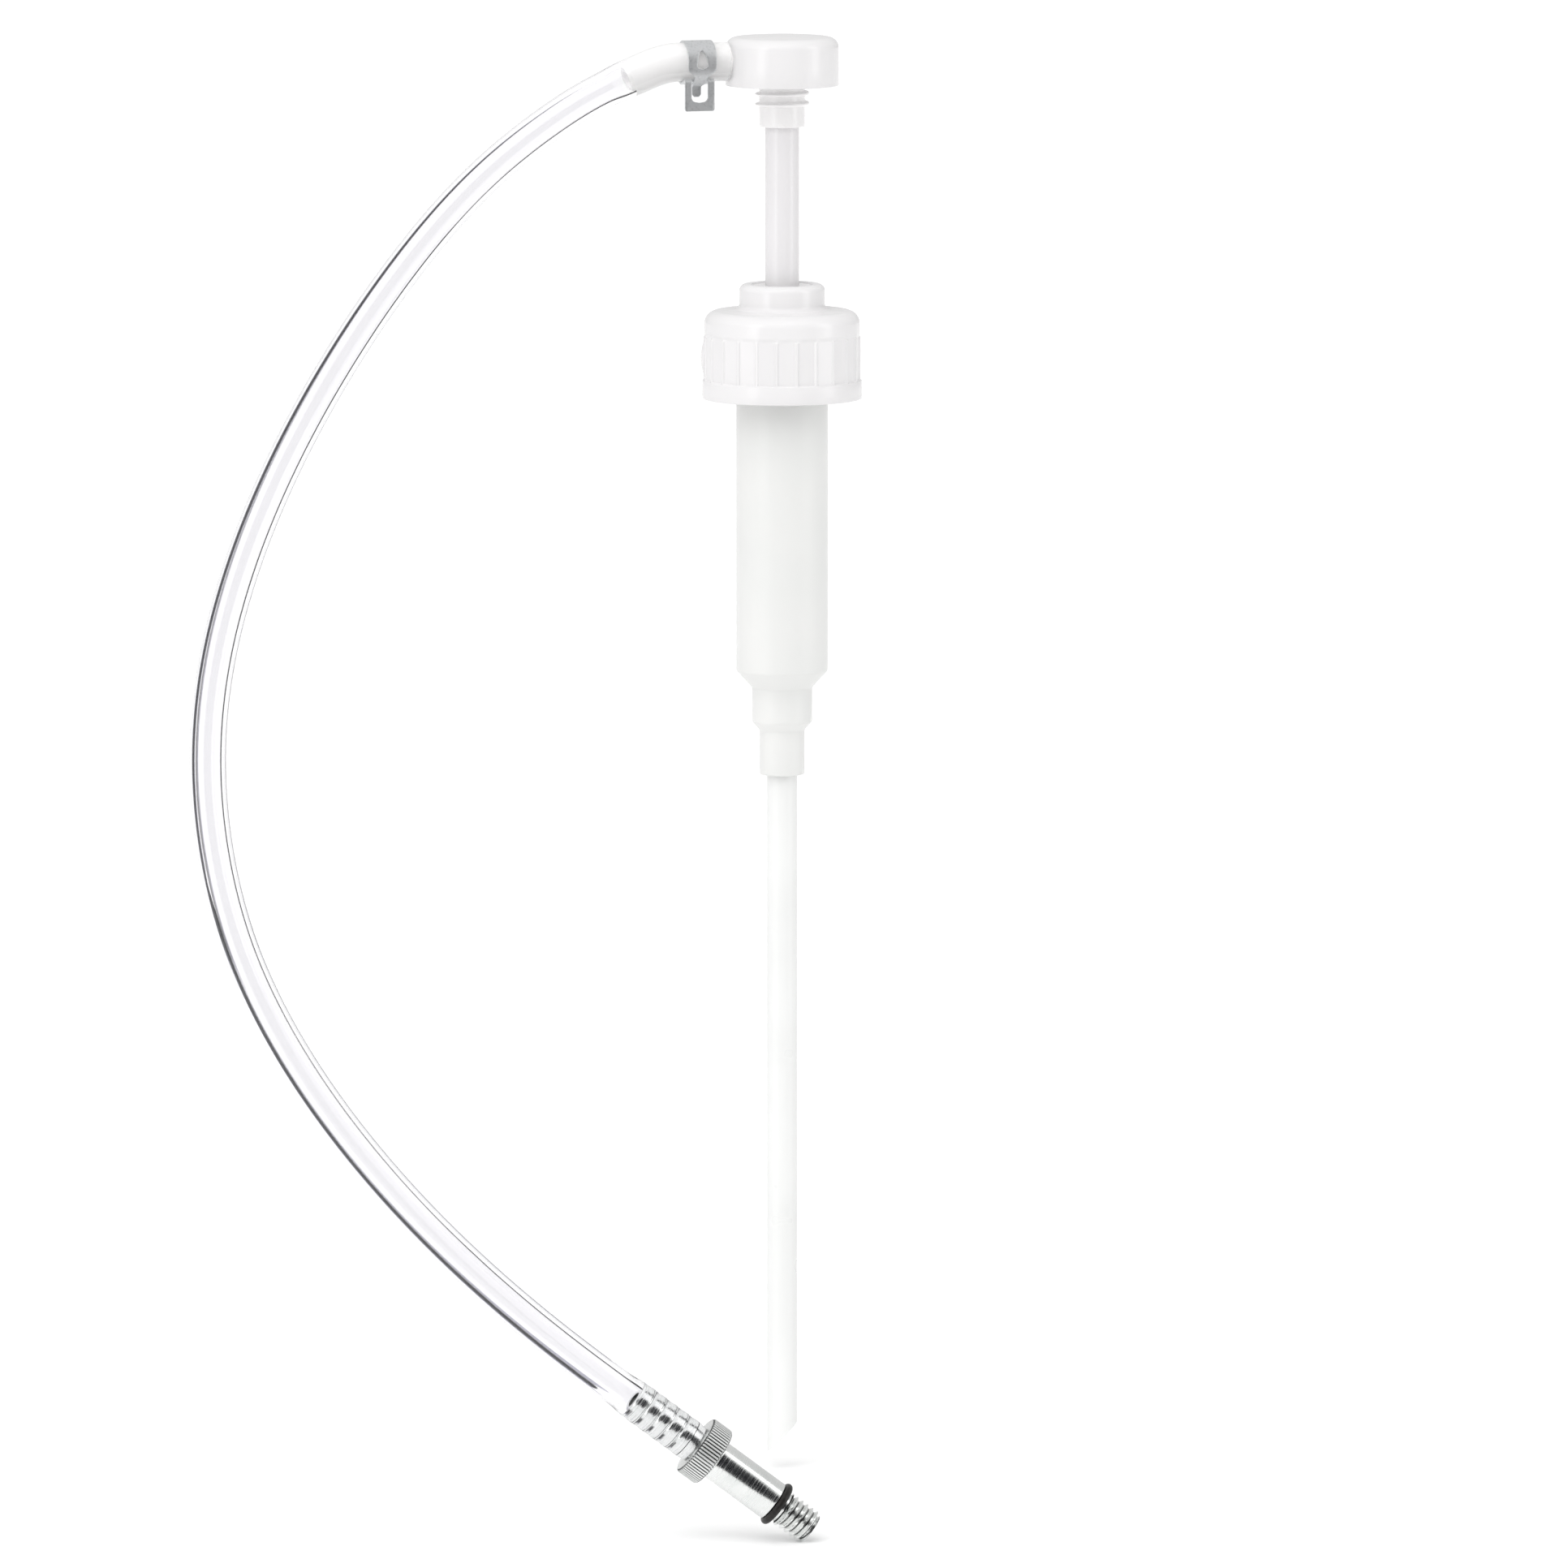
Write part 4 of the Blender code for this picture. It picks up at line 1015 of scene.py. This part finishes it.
THREAD_PITCH = 1.5875
THREAD_RADIUS = 4.7
THREAD_DEPTH = 0.92
THREAD_END = -9.0
RELIEF_RADIUS = 3.95
ADAPTER_RADIUS = 5.3
ADAPTER_END = -30.9
SOCKET_RADIUS = 3.5
ADAPTER_BORE = 2.0


def thread_shape(r, z, angle):
    """A right-hand 60 degree thread, which runs out at the relief behind it and at the tip's chamfer."""
    if not 4.0 < r < 4.8 or z < THREAD_END:
        return r, z
    phase = (angle / TURN) % 1
    nearest = abs((z / THREAD_PITCH + phase + 0.5) % 1 - 0.5) * 2
    depth = THREAD_DEPTH * step_between(z, THREAD_END, THREAD_END + 0.4)
    crest = max(0.0, min(1.0, (nearest - 0.06) / 0.86))
    return r - depth * (1 - crest), z


adapter_profile = [
    (SOCKET_RADIUS, ADAPTER_END),
    (ADAPTER_RADIUS - 0.6, ADAPTER_END),
    *arc((ADAPTER_RADIUS - 0.45, ADAPTER_END + 0.45), 0.45, 285, 360, 5),
    (ADAPTER_RADIUS, -29.0),
    (ADAPTER_RADIUS, -20.0),
    *arc((ADAPTER_RADIUS - 0.3, -12.4), 0.3, 0, 90, 4),
    (RELIEF_RADIUS + 0.05, -12.1),
    (RELIEF_RADIUS, THREAD_END - 0.2),
    *dense((THREAD_RADIUS, THREAD_END + 0.05), (THREAD_RADIUS, -1.2), 0.09),
    *dense((THREAD_RADIUS, -1.2), (RELIEF_RADIUS, -0.15), 0.09),
    (3.85, -0.03),
    (3.7, 0),
    (ADAPTER_BORE + 0.3, 0),
    (ADAPTER_BORE, -0.3),
    (ADAPTER_BORE, -24.0),
    (SOCKET_RADIUS, -24.0),
]
adapter = lathe("adapter", adapter_profile, even_angles(144), thread_shape, 40)
# Painted shade in the roots of the thread.
mark_groove_shade_and_knurl(adapter, THREAD_END - 0.1, 0, 3.75, 3.98, False)
place(adapter, TIP, TIP_DIRECTION)
dress(adapter, zinc, "hose_end", "adapter_body")

O_RING_PLACE = (5.15, -11.0)
O_RING_HALF = 0.98
o_ring = lathe("o_ring", arc(O_RING_PLACE, O_RING_HALF, 0, 352, 31), even_angles(128))
place(o_ring, TIP, TIP_DIRECTION)
dress(o_ring, nitrile, "hose_end", "adapter_o_ring")

# --- pieces inside the barrel ------------------------------------------------------------------------

WIRE = 0.65  # radius of the wire
COIL_RADIUS = 7.1
OPEN_TURNS = 8
CLOSED_RISE = 2 * WIRE + 0.15
STEPS_PER_TURN = 48


def fine_spring():
    """A coil of round wire with one closed turn at each end."""
    low, high = SPRING_BOTTOM + WIRE, SPRING_TOP - WIRE
    open_rise = (high - low - 2 * CLOSED_RISE) / OPEN_TURNS
    path = []
    for i in range((OPEN_TURNS + 2) * STEPS_PER_TURN + 1):
        t = i / STEPS_PER_TURN
        closed = min(t, 1) + max(t - 1 - OPEN_TURNS, 0)
        height = low + closed * CLOSED_RISE + (t - closed) * open_rise
        path.append((COIL_RADIUS * math.cos(TURN * t), COIL_RADIUS * math.sin(TURN * t), height))
    final = len(path) - 1
    rings = [(0, WIRE * 0.8), *[(i, WIRE) for i in range(final + 1)], (final, WIRE * 0.8)]
    return sweep("spring", path, rings, 16, hollow=False)


spring = fine_spring()
dress(spring, stainless, "housing", "return_spring")
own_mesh(spring)

# The other hidden pieces keep the CAD's own meshes.
KEPT = {
    "stem_guide": natural_plastic,
    "stem_wiper": seal_plastic,
    "inlet_valve_cage": natural_plastic,
    "inlet_ball": stainless,
    "piston": white_plastic,
    "piston_seal": seal_plastic,
    "outlet_valve_retainer": natural_plastic,
    "outlet_ball": stainless,
}
for name, surface in KEPT.items():
    kept_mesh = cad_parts[name].data
    kept_mesh.materials.clear()
    kept_mesh.materials.append(surface)

# --- floor, light and world --------------------------------------------------------------------------

# Lengths are in metres from here on.
FLOOR = FLOOR_Z * MM
ON_FLOOR = FLOOR + 0.001
WHITE = (1, 1, 1, 1)


def card(name, corners, surface):
    """One flat face of the studio."""
    mesh = bpy.data.meshes.new(name)
    mesh.from_pydata(corners, [], [tuple(range(len(corners)))])
    mesh.materials.append(surface)
    return link_new(name, mesh)


def rectangle(x0, x1, y0, y1, z):
    """Corners of a level card."""
    return [(x0, y0, z), (x1, y0, z), (x1, y1, z), (x0, y1, z)]


def floor():
    """A pale floor that the adapter rests on, inside the sky."""
    half = 11.0
    pale = material(
        "pale_floor",
        Base_Color=(0.95, 0.95, 0.95),
        Roughness=0.9,
        Emission_Color=WHITE,
        Emission_Strength=0.12,
    )
    card("floor", rectangle(-half, half, -half, half, FLOOR), pale)


def sky():
    """A white surround, so that the backdrop above the floor is as white as the floor in every view."""
    mesh = bpy.data.meshes.new("sky")
    shape = bmesh.new()
    bmesh.ops.create_uvsphere(shape, u_segments=32, v_segments=16, radius=12.0)
    shape.to_mesh(mesh)
    shape.free()
    mesh.materials.append(
        material("white_sky", Base_Color=(0, 0, 0), Emission_Color=WHITE, Emission_Strength=1.1)
    )
    made = link_new("sky", mesh)
    made.visible_diffuse = made.visible_glossy = made.visible_shadow = made.visible_volume_scatter = False


def towards(azimuth, elevation=0.0):
    """A direction from the pump. Azimuth 0 is on the camera's side, and 90 to its right."""
    turn, rise = math.radians(azimuth), math.radians(elevation)
    return Vector((math.sin(turn) * math.cos(rise), -math.cos(turn) * math.cos(rise), math.sin(rise)))


def strip_light(name, azimuth, width, power):
    """A tall soft light that faces the pump and only puts highlights on it."""
    light = bpy.data.lights.new(name, "AREA")
    light.shape = "RECTANGLE"
    light.size, light.size_y = width, 1.5
    light.energy = power
    made = link_new(name, light)
    middle = Vector((-0.03, -0.03, -0.1))
    made.location = middle + towards(azimuth) * 1.6 + Vector((0, 0, 0.55))
    made.rotation_euler = (middle - made.location).to_track_quat("-Z", "Y").to_euler()
    made.visible_camera = made.visible_diffuse = False


def sector(start, end, near, far, low, high):
    """Corners of a card between two azimuths: a low edge at the near distance, a high edge at the far."""
    edges = ((start, near, low), (end, near, low), (end, far, high), (start, far, high))
    return [towards(azimuth) * distance + Vector((0, 0, z)) for azimuth, distance, z in edges]


def flag(name, corners, tone, glossy=False, transmission=False):
    """A studio flag of an even grey tone, seen only in reflections, through clear pieces, or in both."""
    grey = material(
        name,
        Base_Color=(0, 0, 0),
        Specular_IOR_Level=0.0,
        Emission_Color=(tone, tone, tone * 1.15, 1),
        Emission_Strength=1.0,
    )
    made = card(name, corners, grey)
    made.visible_camera = made.visible_diffuse = made.visible_shadow = False
    made.visible_volume_scatter = False
    made.visible_glossy = glossy
    made.visible_transmission = transmission


def key_light(azimuth, elevation, power, softness):
    """One large even light from the front, the left and above, which leaves no highlight."""
    light = bpy.data.lights.new("key_light", "SUN")
    light.energy = power
    light.angle = math.radians(softness)
    made = link_new("key_light", light)
    made.rotation_euler = towards(azimuth, elevation).to_track_quat("Z", "Y").to_euler()
    made.visible_glossy = False


floor()
sky()
strip_light("left_strip", -42, 0.56, 3.6)
strip_light("right_strip", 72, 0.48, 3.8)
key_light(-18, 52, 1.49, 60)

# Behind the camera, and on the floor before it, the room that the metal reflects is dark.
flag("room_card", sector(-36, 52, 3.6, 3.6, -0.3, 2.6), 0.02, glossy=True, transmission=True)
flag("room_floor", sector(-36, 52, 0.22, 3.6, ON_FLOOR, ON_FLOOR), 0.02, glossy=True)

# The clear hose bends the light that passes it, and shows what stands beside the backdrop as dark lines.
FLAG_Y = 0.35
WING_TOP = 0.9
WINGS = ((-0.37, -0.31, 0.4), (-0.75, -0.37, 0.02), (-0.95, -0.75, 0.35), (0.30, 0.72, 0.03))
for number, (x0, x1, tone) in enumerate(WINGS):
    corners = [(x0, FLAG_Y, ON_FLOOR), (x1, FLAG_Y, ON_FLOOR), (x1, FLAG_Y, WING_TOP), (x0, FLAG_Y, WING_TOP)]
    flag(f"wing_{number}", corners, tone, transmission=True)

shared_edge = [(-0.07, -0.05, ON_FLOOR), (-0.20, 0.05, ON_FLOOR), (-0.45, FLAG_Y, ON_FLOOR)]
left_of_edge = [(-0.75, FLAG_Y, ON_FLOOR), (-0.75, -0.12, ON_FLOOR), (-0.07, -0.12, ON_FLOOR)]
right_of_edge = [(-0.40, FLAG_Y, ON_FLOOR), (-0.19, 0.11, ON_FLOOR), (-0.06, -0.01, ON_FLOOR)]
flag("floor_left", [*left_of_edge, *shared_edge], 0.03, transmission=True)
flag("floor_fade", [*shared_edge, *right_of_edge], 0.5, transmission=True)
flag("floor_right", rectangle(0.04, 0.6, 0.0, FLAG_Y, ON_FLOOR), 0.04, transmission=True)

world = bpy.data.worlds.new("white_room")
world.use_nodes = True
background = world.node_tree.nodes["Background"]
background.inputs["Color"].default_value = WHITE
background.inputs["Strength"].default_value = 0.69
bpy.context.scene.world = world
bpy.context.scene.view_settings.view_transform = "Standard"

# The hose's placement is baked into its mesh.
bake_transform(hose)
